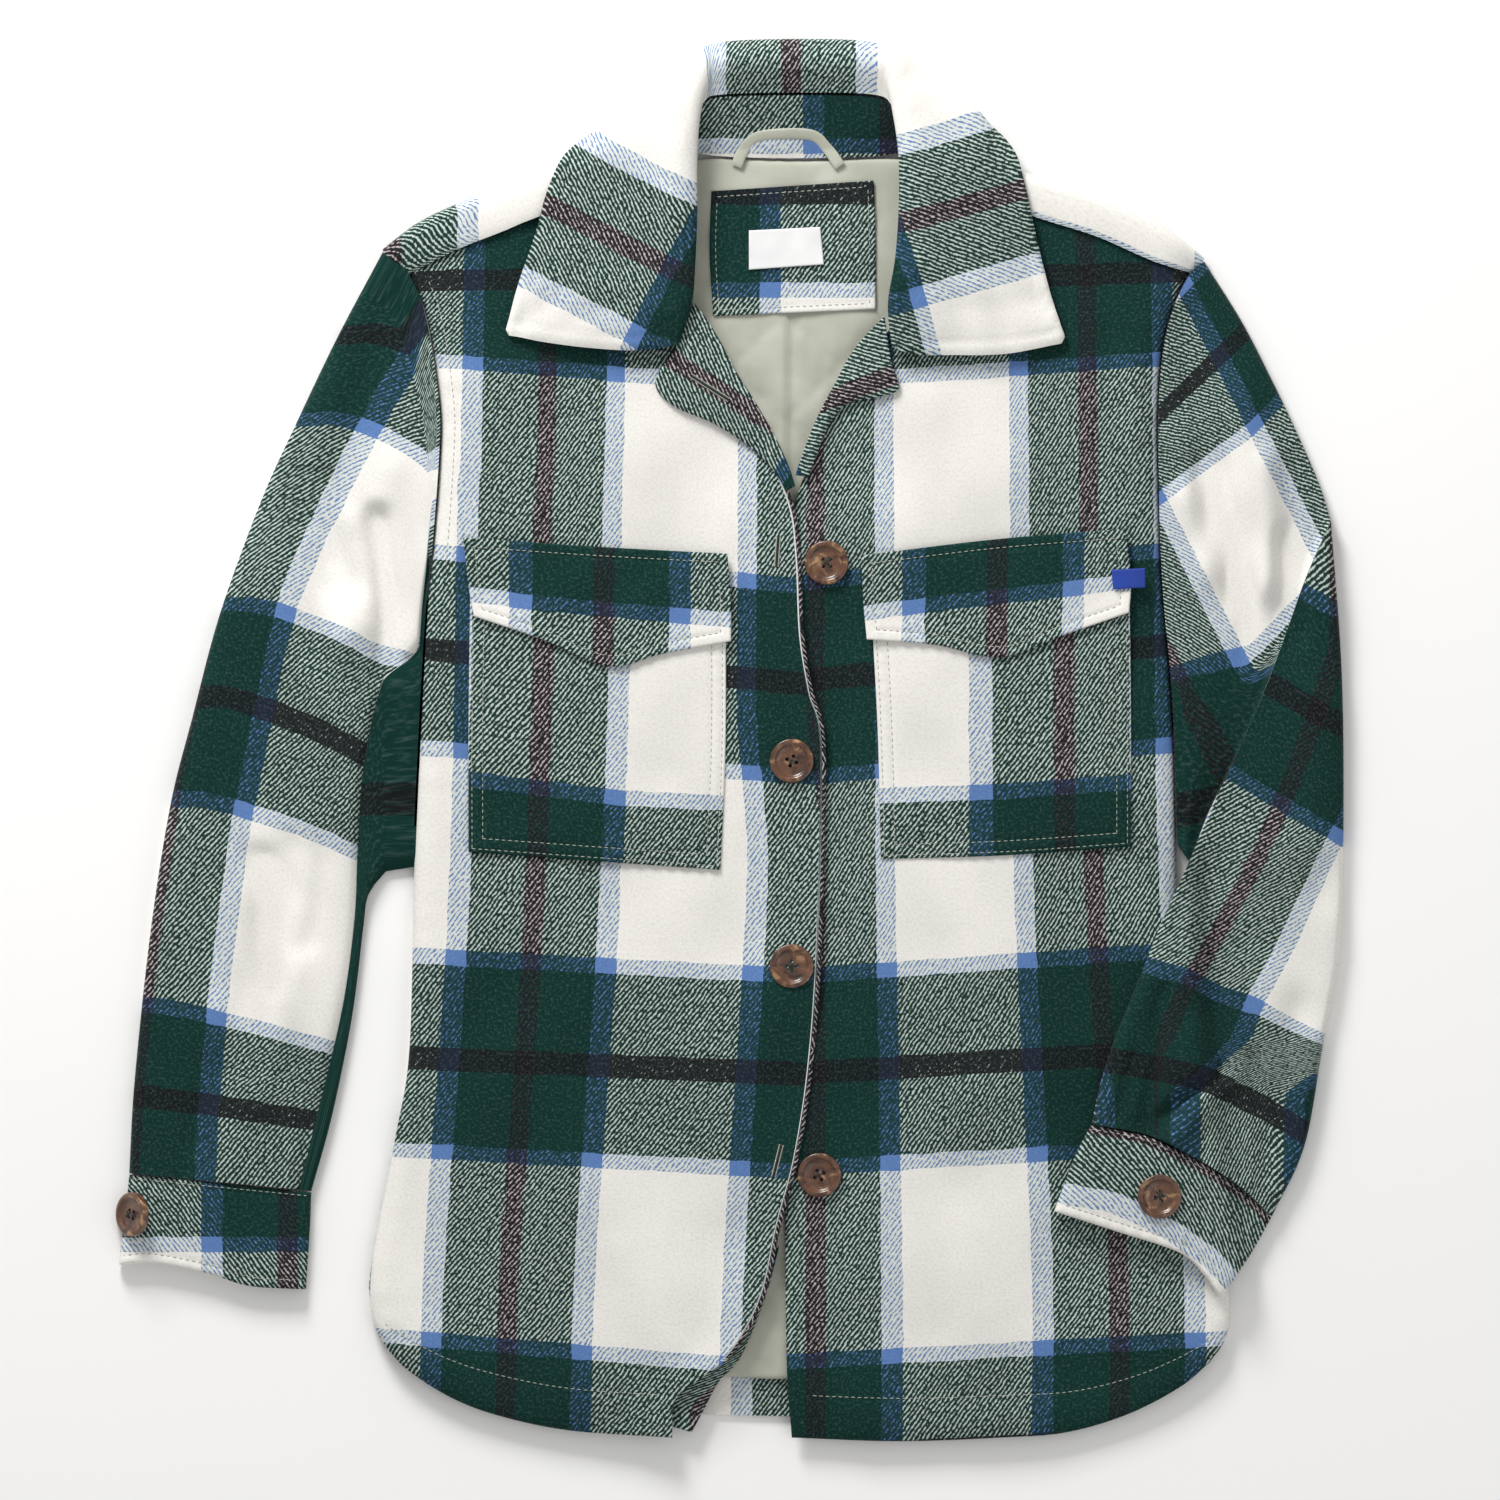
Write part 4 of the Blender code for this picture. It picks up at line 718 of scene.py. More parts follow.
@dataclass(frozen=True)
class CheckTwill:
    """Yarn-dyed check in brushed 2/2 twill: matt, with a short nap that softens every edge.

    Where the warp's and the weft's colours agree the cloth is plain, and elsewhere each shows as
    slanting flecks between the other's. The twill line is drawn a little coarse, so that it shows.
    """

    name: str = "brushed_check_twill"
    green: str = "#0C302B"
    cream: str = "#E6E3DD"
    blue: str = "#5A7AAF"
    warp_dark: str = "#1E181E"
    weft_dark: str = "#15161A"
    tint: str = "#CFE2DF"
    rose: str = "#D2C8CE"
    warp_cover: tuple[float, float, float, float] = (0.24, 0.0, 0.5, 0.64)
    weft_cover: tuple[float, float, float, float] = (0.24, 0.0, 0.5, 1.0)
    warp_repeat_mm: float = WARP_REPEAT
    weft_repeat_mm: float = WEFT_REPEAT
    warp_halves_mm: tuple[float, float, float] = (5.6, 36.1, 48.4)
    weft_halves_mm: tuple[float, float, float] = (6.15, 49.6, 58.3)
    twill_mm: float = 2.65
    twill_slope: float = 0.74
    nap_mm: float = 1.6
    waver_mm: float = 2.2
    tangle_mm: float = 7.5
    break_mm: float = 1.9
    unevenness: float = 3.6
    lead: float = 2.0
    wale_edge: tuple[float, float] = (1.35, 2.3)
    two_tone: tuple[float, float] = (0.75, 1.2)
    fibre: str = "#93A69E"

    def stops(
        self, dark: str, cover: tuple[float, ...], halves: tuple[float, float, float], repeat: float
    ) -> list[tuple[float, str, float]]:
        """Colour steps over one repeat, with the dark stripe in its middle.

        A step's alpha is how far its yarn covers the other one: dark, fuller yarns show more.

        Args:
            dark: The middle stripe's colour.
            cover: How far cream, blue, green and the middle stripe cover the other yarns.
            halves: Half widths of the dark stripe, of the green and of the blue.
            repeat: The repeat.

        Returns:
            Place, colour and cover of each step.
        """
        d, g, b = (half / repeat for half in halves)
        cream, blue, green, middle = zip((self.cream, self.blue, self.green, dark), cover)
        return [
            (0.0, *cream), (0.5 - b, *blue), (0.5 - g, *green), (0.5 - d, *middle),
            (0.5 + d, *green), (0.5 + g, *blue), (0.5 + b, *cream),
        ]

    def build(self) -> bpy.types.Material:
        """Makes the material, which reads the cloth's own u and v in metres."""
        made, tree, shader = new_material(self.name)
        cloth = add_node(tree, "UVMap", {"uv_map": "cloth"}).outputs[0]
        waver = self.waver_mm * MM
        shift = add_node(
            tree, "VectorMath", {"operation": "MULTIPLY_ADD"},
            {0: noise(tree, cloth, 90.0, 2.0).outputs["Color"], 1: (waver, waver, 0),
             2: (-waver / 2, -waver / 2, 0)},
        )
        place = add_node(tree, "VectorMath", {"operation": "ADD"}, {0: cloth, 1: shift.outputs[0]})
        split = add_node(tree, "SeparateXYZ", {}, {0: place.outputs[0]})
        colours, covers = [], []
        for axis, dark, cover, halves, repeat in (
            ("X", self.warp_dark, self.warp_cover, self.warp_halves_mm, self.warp_repeat_mm),
            ("Y", self.weft_dark, self.weft_cover, self.weft_halves_mm, self.weft_repeat_mm),
        ):
            turns = calc(tree, "MULTIPLY_ADD", split.outputs[axis], 1 / (repeat * MM), 0.5)
            steps = add_node(
                tree, "ValToRGB", {"interpolation": "CONSTANT"}, {0: calc(tree, "FRACT", turns)},
                self.stops(dark, cover, halves, repeat),
            )
            colours.append(steps.outputs["Color"])
            covers.append(steps.outputs["Alpha"])
        # The wales: slanting lines, bent and broken, where the warp or the weft is in front.
        slant = calc(tree, "MULTIPLY_ADD", split.outputs["Y"], -self.twill_slope, split.outputs["X"])
        phase = calc(tree, "MULTIPLY", slant, 2 * math.pi / (self.twill_mm * MM))
        tangle = noise(tree, cloth, 1 / (self.tangle_mm * MM), 3.0).outputs["Fac"]
        breaks = noise(tree, cloth, 1 / (self.break_mm * MM), 1.0).outputs["Fac"]
        wale = calc(tree, "SINE", calc(tree, "MULTIPLY_ADD", tangle, self.unevenness, phase))
        broken = calc(tree, "MULTIPLY_ADD", breaks, self.unevenness, wale)
        ahead = calc(tree, "SUBTRACT", *covers)
        shown = calc(tree, "MULTIPLY_ADD", ahead, self.lead, broken)
        mask = ranged(tree, shown, *self.wale_edge, kind="SMOOTHSTEP")
        woven = blend(tree, mask, colours[1], colours[0])
        apart = add_node(tree, "VectorMath", {"operation": "DISTANCE"}, dict(enumerate(colours)))
        mixed = ranged(tree, apart.outputs["Value"], *self.two_tone)
        # Brushing blurs the two yarns into each other, most where their colours differ a little.
        blur = add_node(
            tree, "ValToRGB", {}, {0: apart.outputs["Value"]},
            [(0.3, "#000000", 0.15), (0.5, "#000000", 0.1), (0.82, "#000000", 0.4), (1.0, "#000000", 0.03)],
        )
        softened = blend(tree, blur.outputs["Alpha"], woven, blend(tree, 0.5, *colours))
        rosy = ranged(tree, covers[0], 0.54, 0.6)
        haze = blend(tree, rosy, linear(self.tint), linear(self.rose))
        veil = blend(tree, mixed, (1, 1, 1, 1), haze)
        veiled = add_node(tree, "VectorMath", {"operation": "MULTIPLY"}, {0: softened, 1: veil})
        nap = noise(tree, cloth, 1 / (self.nap_mm * MM), 3.0, Roughness=0.65).outputs["Fac"]
        wash = noise(tree, cloth, 16.0, 3.0).outputs["Fac"]
        nap_shade = ranged(tree, nap, 0.25, 0.75, 0.84, 1.12)
        shade = calc(tree, "MULTIPLY", nap_shade, ranged(tree, wash, 0.3, 0.7, 0.92, 1.06))
        brushed = add_node(
            tree, "VectorMath", {"operation": "SCALE"}, {0: veiled.outputs[0], "Scale": shade}
        )
        fuzz = ranged(tree, nap, 0.5, 0.8, 0.0, 0.16)
        fuzzy = blend(tree, fuzz, brushed.outputs[0], linear(self.fibre))
        height = calc(tree, "MULTIPLY_ADD", nap, 0.9, calc(tree, "MULTIPLY", mask, mixed))
        constants = {
            "Roughness": 0.95, "Specular IOR Level": 0.1, "Sheen Weight": 0.04, "Sheen Roughness": 0.45,
        }
        dress(tree, shader, fuzzy, constants, height, 0.3)
        return made


@dataclass(frozen=True)
class PlainWeave:
    """A plain woven cloth of one colour, in smooth filament yarn: a fine grid and a soft sheen."""

    name: str
    colour: str
    shade: str
    thread_mm: float
    roughness: float = 0.6
    sheen: float = 0.1
    bump: float = 0.15

    def build(self) -> bpy.types.Material:
        """Makes the material, which reads the cloth's own u and v in metres."""
        made, tree, shader = new_material(self.name)
        cloth = add_node(tree, "UVMap", {"uv_map": "cloth"}).outputs[0]
        threads = []
        for turn in (0.0, math.pi / 2):
            place = add_node(tree, "Mapping", {}, {"Vector": cloth, "Rotation": (0, 0, turn)})
            threads.append(add_node(
                tree, "TexWave", {"wave_profile": "SIN"},
                {"Vector": place.outputs[0], "Scale": 1 / (20 * self.thread_mm * MM) * 2 * math.pi,
                 "Distortion": 0.6, "Detail": 1.0},
            ).outputs["Fac"])
        weave = calc(tree, "MULTIPLY", *threads)
        mottle = noise(tree, cloth, 45.0, 4.0).outputs["Fac"]
        tone = ranged(tree, calc(tree, "MULTIPLY_ADD", weave, 0.35, mottle), 0.3, 0.95)
        colour = blend(tree, tone, linear(self.shade), linear(self.colour))
        constants = {"Roughness": self.roughness, "Sheen Weight": self.sheen}
        dress(tree, shader, colour, constants, weave, self.bump)
        return made


@dataclass(frozen=True)
class HornResin:
    """Cast polyester resin made to look like horn: brown clouds under a semi-gloss face."""

    name: str = "horn_resin"
    dark: str = "#2E1C13"
    mid: str = "#5E3C28"
    light: str = "#B08A62"
    cloud_mm: float = 8.0
    roughness: float = 0.32

    def build(self) -> bpy.types.Material:
        """Makes the material, which reads the object's own coordinates."""
        made, tree, shader = new_material(self.name)
        place = add_node(tree, "TexCoord").outputs["Object"]
        cloud = noise(tree, place, 1 / (self.cloud_mm * MM), 4.0, Distortion=1.2)
        steps = add_node(
            tree, "ValToRGB", {"interpolation": "EASE"}, {0: cloud.outputs["Fac"]},
            [(0.30, self.dark, 1.0), (0.52, self.mid, 1.0), (0.74, self.light, 1.0)],
        )
        constants = {"Roughness": self.roughness, "IOR": 1.55, "Coat Weight": 0.25}
        dress(tree, shader, steps.outputs["Color"], constants)
        return made


@dataclass(frozen=True)
class SewingThread:
    """Spun polyester sewing thread: matt, two-ply, paler than the cloth that it is sewn in."""

    name: str = "sewing_thread"
    colour: str = "#C2C4B6"
    shade: str = "#7E8178"
    ply_mm: float = 0.5

    def build(self) -> bpy.types.Material:
        """Makes the material, which reads the object's own coordinates."""
        made, tree, shader = new_material(self.name)
        place = add_node(tree, "TexCoord").outputs["Object"]
        twist = noise(tree, place, 1 / (self.ply_mm * MM), 2.0).outputs["Fac"]
        colour = blend(tree, twist, linear(self.shade), linear(self.colour))
        dress(tree, shader, colour, {"Roughness": 0.8})
        return made


class Layer(Enum):
    """How a piece's grid closes."""

    OPEN = "open"
    TUBE = "tube"


def make_finishes() -> Finishes:
    """Makes every finish of the jacket once, under the name of its slot or its thread."""
    return {
        "shell_cloth": CheckTwill().build(),
        # The lining's two tones are darkened as painted shade, standing in for the shade that lies in the V
        # between the lapels and under the collar.
        "lining_cloth": PlainWeave("lining_taffeta", "#BFC0B2", "#A6A898", 0.35, 0.5).build(),
        "label_cloth": PlainWeave("label_satin", "#F4F4F2", "#DADADA", 0.3, 0.45).build(),
        "tab_cloth": PlainWeave("tab_weave", "#0440A8", "#052D88", 0.4, 0.55, 0.0).build(),
        "button_resin": HornResin().build(),
        "thread": SewingThread().build(),
        # Dark thread on the buttons; the same finish draws the buttonhole slits as painted shadow.
        "dark_thread": SewingThread("button_thread_and_painted_slit_shadow", "#22322D", "#0D1614").build(),
    }


def put(name: str, data: bpy.types.Mesh, finish: bpy.types.Material) -> bpy.types.Object:
    """Puts a mesh into the scene as a piece of the jacket."""
    data.materials.append(finish)
    piece = bpy.data.objects.new(name, data)
    bpy.context.scene.collection.objects.link(piece)
    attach(piece, "root")
    return piece


@dataclass
class Cloth:
    """One cut piece of cloth, as a closed thin shell.

    outer and inner are grids of points in table millimetres, and uv is the cloth's own place at
    each point, in millimetres. area is the cut's flat area; it is not used.
    """

    name: str
    outer: Grid
    inner: Grid
    uv: Grid
    finishes: Finishes
    area: float
    slot: str = "shell_cloth"
    layer: Layer = Layer.OPEN
    skip: Grid | None = None

    def quads(self) -> tuple[Grid, Grid]:
        """The grid's faces.

        Returns:
            Corner numbers of each face, and the uv of each corner.
        """
        rows, columns = self.outer.shape[:2]
        index = np.arange(rows * columns).reshape(rows, columns)
        if self.layer is Layer.TUBE:
            index = np.concatenate([index, index[:, :1]], axis=1)
        uv = self.uv * MM
        faces = np.stack([index[:-1, :-1], index[:-1, 1:], index[1:, 1:], index[1:, :-1]], -1)
        places = np.stack([uv[:-1, :-1], uv[:-1, 1:], uv[1:, 1:], uv[1:, :-1]], -2)
        keep = np.ones(faces.shape[:2], bool) if self.skip is None else ~self.skip
        return faces[keep], places[keep]

    def build(self) -> None:
        """Makes the mesh, puts it into the scene and hides the solid that it stands for."""
        faces, places = self.quads()
        total = self.outer.shape[0] * self.outer.shape[1]
        after = np.roll(faces, -1, axis=1)
        border = ~np.isin(faces.astype(np.int64) * total + after, after.astype(np.int64) * total + faces)
        start, end = faces[border], after[border]
        walls = np.stack([end, start, start + total, end + total], -1)
        place_start, place_end = places[border], np.roll(places, -1, axis=1)[border]
        wall_places = np.stack([place_end, place_start, place_start, place_end], -2)
        points = np.concatenate([self.outer.reshape(-1, 3), self.inner.reshape(-1, 3)])
        points = (points - (*MIDDLE, 0)) * MM
        data = bpy.data.meshes.new(self.name + "_cloth")
        data.from_pydata(points, [], np.concatenate([faces, faces[:, ::-1] + total, walls]))
        layer = data.uv_layers.new(name="cloth")
        loops = np.concatenate([places, places[:, ::-1], wall_places]).reshape(-1)
        layer.data.foreach_set("uv", loops.astype(np.float32))
        mesh = bmesh.new()
        mesh.from_mesh(data)
        loose = [vert for vert in mesh.verts if not vert.link_faces]
        bmesh.ops.delete(mesh, geom=loose, context="VERTS")
        bmesh.ops.recalc_face_normals(mesh, faces=mesh.faces)
        mesh.to_mesh(data)
        mesh.free()
        data.shade_smooth()
        data.set_sharp_from_angle(angle=math.radians(70))
        piece = put(self.name + "_cloth", data, self.finishes[self.slot])
        if self.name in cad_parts:
            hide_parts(self.name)
        LOG.info("%s: %d faces", self.name, len(data.polygons))


def plan_area(plan: Grid) -> float:
    """Flat area of a grid of points, in square millimetres."""
    a, b = plan[1:, 1:] - plan[:-1, :-1], plan[1:, :-1] - plan[:-1, 1:]
    return float(np.abs(a[..., 0] * b[..., 1] - a[..., 1] * b[..., 0]).sum() / 2)


def sheet_area(points: Grid) -> float:
    """Area of a grid of points in space, in square millimetres."""
    a, b = points[1:, 1:] - points[:-1, :-1], points[1:, :-1] - points[:-1, 1:]
    return float(np.linalg.norm(np.cross(a, b), axis=2).sum() / 2)


def offset_inside(points: Grid, wall: float) -> Grid:
    """The same grid a wall's thickness further in, below its outer side."""
    along, across = np.gradient(points, axis=0), np.gradient(points, axis=1)
    normal = np.cross(across, along)
    normal /= np.maximum(np.linalg.norm(normal, axis=2, keepdims=True), 1e-9)
    return points - normal * wall


def cut_area(name: str, area: float) -> float:
    """An area, but no more than the whole of the piece's cut."""
    return min(area, CUTS[name][0] * CUTS[name][1])


def laid(
    name: str, plan: Grid, top: Grid, wall: float, uv: Grid, finishes: Finishes,
    slot: str = "shell_cloth", low: float = 0.0,
) -> Grid:
    """Builds a piece that lies flat, with rounded edges.

    Args:
        name: The piece and the node that it stands for.
        plan: Its grid of places.
        top: Height of its upper side.
        wall: Its thickness.
        uv: The cloth's own place at each point.
        finishes: Every finish.
        slot: The record's slot.
        low: The least height of its underside.

    Returns:
        Its upper side.
    """
    near = near_edge(plan, "lrdu")
    drop = 0.42 * wall * (1 - rise(near, 0.75 * wall))
    under = np.maximum(top - wall, low) + 0.9 * drop
    outer, inner = with_height(plan, top - drop), with_height(plan, np.minimum(under, top - drop - 0.15))
    Cloth(name, outer, inner, uv, finishes, cut_area(name, plan_area(plan)), slot).build()
    return outer


@dataclass
class Sewing:
    """Rows of lock stitches and the buttonholes, in pale thread that sinks into the nap."""

    finishes: Finishes
    stitch: float = 2.7
    gap: float = 0.9
    thread: float = 0.27
    bars: int = 34

    def template(self) -> tuple[Grid, list[tuple[int, ...]]]:
        """Models one stitch: a short round thread whose ends dive into the cloth.

        Returns:
            Its points, one unit long and one thick, and its faces.
        """
        bpy.ops.object.select_all(action="DESELECT")
        bpy.ops.mesh.primitive_uv_sphere_add(segments=6, ring_count=4, radius=0.5)
        made = bpy.context.object
        bpy.ops.object.mode_set(mode="EDIT")
        bpy.ops.mesh.select_all(action="DESELECT")
        mesh = bmesh.from_edit_mesh(made.data)
        for vert in mesh.verts:
            vert.select_set(abs(vert.co.z) > 0.3)
        mesh.select_flush_mode()
        bmesh.update_edit_mesh(made.data)
        bpy.ops.transform.translate(value=(-0.45, 0, 0))
        bpy.ops.object.mode_set(mode="OBJECT")
        points = np.array([(v.co.z, v.co.y, v.co.x) for v in made.data.vertices])
        faces = [tuple(reversed(face.vertices)) for face in made.data.polygons]
        bpy.data.objects.remove(made)
        return points, faces

    def sew(self, name: str, starts: Grid, ends: Grid, finish: str, thick: float) -> None:
        """Makes one piece of many stitches.

        Args:
            name: The piece.
            starts: Where each stitch goes in, in table millimetres.
            ends: Where each one comes out.
            finish: Its thread.
            thick: The thread's thickness.
        """
        points, faces = self.template()
        run = ends - starts
        length = np.linalg.norm(run, axis=1, keepdims=True)
        ahead = run / length
        side = np.cross((0, 0, 1.0), ahead)
        side /= np.linalg.norm(side, axis=1, keepdims=True)
        up = np.cross(ahead, side)
        place = (starts + ends)[:, None] / 2 + points[None, :, :1] * (ahead * length)[:, None]
        sideways, upward = points[None, :, 1:2], points[None, :, 2:] + 0.3
        place = place + thick * (sideways * side[:, None] + upward * up[:, None])
        place = (place.reshape(-1, 3) - (*MIDDLE, 0)) * MM
        shifts = len(points) * np.arange(len(run))
        data = bpy.data.meshes.new(name)
        data.from_pydata(place, [], [tuple(k + shift for k in face) for shift in shifts for face in faces])
        data.shade_smooth()
        piece = put(name, data, self.finishes[finish])
        LOG.info("%s: %d stitches", name, len(run))

    def rows(
        self, name: str, surface: Grid, lines: Sequence[tuple[str, float, float, float]],
        lowest: float = 0.0,
    ) -> None:
        """Sews rows beside the edges of a piece.

        Args:
            name: The piece that is sewn.
            surface: Its upper side.
            lines: For each row its side (l, r, d or u), its distance from it, and how far it
                stays from the side's first and last end.
            lowest: The least height where stitches show.
        """
        starts, ends = [], []
        for side, inset, first, last in lines:
            turned = {
                "l": surface, "r": surface[:, ::-1],
                "d": surface.transpose(1, 0, 2), "u": surface[::-1].transpose(1, 0, 2),
            }[side]
            far = reach_along(turned[..., :2], 1)
            line = np.array([
                [np.interp(inset, reach, points) for points in row.T] for reach, row in zip(far, turned)
            ])
            step = np.linalg.norm(np.diff(line, axis=0), axis=1)
            at = np.concatenate([[0], np.cumsum(step)])
            begin = np.arange(first, at[-1] - last - self.stitch, self.stitch + self.gap)
            pair = [
                np.stack([np.interp(begin + add, at, line[:, axis]) for axis in range(3)], 1)
                for add in (0, self.stitch)
            ]
            keep = np.minimum(pair[0][:, 2], pair[1][:, 2]) > lowest
            starts.append(pair[0][keep])
            ends.append(pair[1][keep])
        starts, ends = np.concatenate(starts), np.concatenate(ends)
        self.sew(name + "_topstitch", starts, ends, "thread", 2 * self.thread)

    def buttonhole(
        self, name: str, surface: Grid, centre: tuple[float, float], turn: float, length: float
    ) -> None:
        """Sews a buttonhole: two lips of close bars, with dark strands along the slit between them as
        painted shadow.

        Args:
            name: The piece.
            surface: The upper side of the cloth that it is in.
            centre: Its middle.
            turn: Its direction in degrees.
            length: Its length.
        """
        along = np.array([math.cos(math.radians(turn)), math.sin(math.radians(turn))])
        across = np.array([-along[1], along[0]])
        flat = surface.reshape(-1, 3)
        # The bars are pale thread. The slit is a row of thick dark strands along the middle: painted shadow
        # for the shade in the cut.
        for part, finish, thick, bars in (
            ("bars", "thread", 0.75, [(across * 0.5, across * 1.5), (across * -0.5, across * -1.5)]),
            ("slit", "dark_thread", 1.0, [(along * -0.9, along * 0.9)]),
        ):
            starts, ends = [], []
            for first, last in bars:
                for place in np.linspace(-length / 2, length / 2, self.bars):
                    middle = np.array(centre) + along * place
                    height = flat[np.argmin(((flat[:, :2] - middle) ** 2).sum(1)), 2] + 0.12
                    starts.append((*(middle + first), height))
                    ends.append((*(middle + last), height))
            self.sew(f"{name}_{part}", np.array(starts), np.array(ends), finish, thick)


def band_place(
    x: Grid, y: Grid, lines: Sequence[tuple[float, float, float]], ends: tuple[float, float]
) -> Grid:
    """The cloth's own v on a panel whose weft bands were measured.

    Args:
        x: Places across.
        y: Places up.
        lines: v of each line, and its y at the first and at the second end, from the lowest up.
        ends: x of the two ends.

    Returns:
        v at each place.
    """
    share = (x - ends[0]) / (ends[1] - ends[0])
    heights = [a + (b - a) * share for _, a, b in lines]
    found = lines[0][0] + np.minimum(y - heights[0], 0)
    for number in range(len(lines) - 1):
        step = np.clip((y - heights[number]) / (heights[number + 1] - heights[number]), 0, 1)
        found = found + step * (lines[number + 1][0] - lines[number][0])
    return found + np.maximum(y - heights[-1], 0)


@dataclass
class Body:
    """The back, its lining, both fronts, and the facings that show."""

    finishes: Finishes
    sewing: Sewing
    step: float = 3.0
    wall: float = 2.6
    wrap_area: float = 20000.0
    hem_row: float = 24.0
    armhole_row: float = 8.0
    check_edge: float = 38.0
    piping: float = 2.3
    purple_right: Rail = (
        (-128, -390), (-126.6, -368), (-123.8, -284), (-110.3, -86), (-105.3, 129), (-103.6, 164),
        (-101, 300),
    )
    purple_left: Rail = ((217, -390), (216.2, -284), (202.7, -70), (199.9, 132), (198, 300))
    next_right: Rail = (
        (40, -390), (44, -284), (56, -86), (53, -30), (47.5, 20), (47.5, 129), (47, 164), (49, 300),
    )
    next_left: Rail = ((47, -390), (47, 300))
    bands_right: Sequence[tuple[float, float, float]] = (
        (-382.9, -335.4, -350.4), (-218.4, -177.8, -185.0), (-53.9, -3.7, -17.5), (0.0, 51.2, 34.6),
        (53.9, 106.0, 89.0), (164.5, 214.0, 200.0), (218.4, 258.0, 262.0),
    )
    bands_left: Sequence[tuple[float, float, float]] = (
        (-382.9, -345.0, -336.0), (-218.4, -183.5, -173.6), (0.0, 37.5, 54.4),
        (164.5, 203.5, 215.0), (218.4, 258.0, 263.0),
    )

    def right_uv(self, x: Grid, y: Grid) -> Grid:
        """The right front's own u and v at each place."""
        line, following = x_at(self.purple_right, y), x_at(self.next_right, y)
        u = (x - line) * np.where(x > line, WARP_REPEAT / (following - line), 1)
        return np.stack([u, band_place(x, y, self.bands_right, (-160, 20))], -1)

    def left_uv(self, x: Grid, y: Grid) -> Grid:
        """The left front's own u and v at each place."""
        line, following = x_at(self.purple_left, y), x_at(self.next_left, y)
        u = (x - line) * np.where(x < line, WARP_REPEAT / (line - following), 1)
        return np.stack([u, band_place(x, y, self.bands_left, (70, 240))], -1)

    def back(self) -> None:
        """The back, flat on the floor, whose shoulders come over to the forward seams."""
        side, middle = 16, 24
        right = by_length(BACK_FOLD_RIGHT, np.linspace(0, 1, side))
        neck = by_length(BACK_NECK, np.linspace(0, 1, middle))
        left = by_length(BACK_FOLD_LEFT, np.linspace(0, 1, side))
        fold = np.vstack([right, neck[1:-1], left])
        shares = np.linspace(0, 1, len(fold))
        vs = np.linspace(0, 1, 130)
        turn_in = np.array([0, 3.0])
        high = np.vstack([right - turn_in, neck[1:-1], left - turn_in])
        low = by_length(BACK_HEM, shares)
        side_right = [BACK_HEM[0]] + SIDE_RIGHT[2:] + [tuple(high[0])]
        side_left = [BACK_HEM[-1]] + SIDE_LEFT[1:] + [tuple(high[-1])]
        floor = patch(low, high, by_length(side_right, vs), by_length(side_left, vs), shares, vs)
        seam = fold.copy()
        seam[:side] = by_length(SHOULDER_RIGHT, np.linspace(0, 1, side))
        seam[-side:] = by_length(SHOULDER_LEFT, np.linspace(0, 1, side))
        inward = (fold - seam) / np.maximum(np.linalg.norm(fold - seam, axis=1, keepdims=True), 1)
        from_side = np.minimum(np.abs(fold[:, 0] - fold[0, 0]), np.abs(fold[:, 0] - fold[-1, 0]))
        top = EDGE_TOP + (WRAP_TOP - EDGE_TOP) * rise(from_side, 24)
        ledge = np.minimum(top, BODY_TOP)
        middle_line = (fold + seam) / 2
        low_fold = fold - 0.4 * inward
        rows = [
            (low_fold, top * 0.12), (fold, top * 0.5), (fold - 0.6 * inward, top * 0.78),
            (fold - 2.0 * inward, top - 0.9), (fold - 4.5 * inward, top - 0.2),
            (middle_line, top), ((middle_line + seam) / 2, (top + ledge) / 2 + 0.4),
            (seam + 2.0 * inward, ledge + 0.7), (seam + 0.6 * inward, ledge + 0.2),
        ]
        wrap = np.array([np.concatenate([place, height[:, None]], axis=1) for place, height in rows])
        points = np.concatenate([with_height(floor, np.zeros(floor.shape[:2])), wrap])
        first = len(vs) - 1
        skip = np.zeros((points.shape[0] - 1, points.shape[1] - 1), bool)
        skip[first:, side - 1 : len(fold) - side] = True
        x, y = points[..., 0], points[..., 1]
        uv = np.stack([x - 47.8, y + 475.0], -1)
        over = uv[first + 1 :]
        x_over = x[first + 1 :]
        left_u = 42 + (x_over - 150) * np.where(x_over > 150, 0.72, 1)
        over[..., 0] = np.where(x_over < self.check_edge, x_over + 190, left_u)
        down = np.linspace(0, 1, len(rows))[:, None]
        over[..., 1] = np.where(x_over < self.check_edge, 112 + 40 * down, 92 - 40 * down)
        inner = points.copy()
        inner[: first + 1, :, 2] = BACK_WALL
        turned = offset_inside(points, 1.8)
        inner[first + 1 :] = turned[first + 1 :]
        inner[first, :, :2] = fold - 2.4 * inward
        inner[..., 2] = np.maximum(inner[..., 2], BACK_WALL * 0.9)
        Cloth(
            "back_panel", points, inner, uv, self.finishes, plan_area(floor) + self.wrap_area, skip=skip,
        ).build()

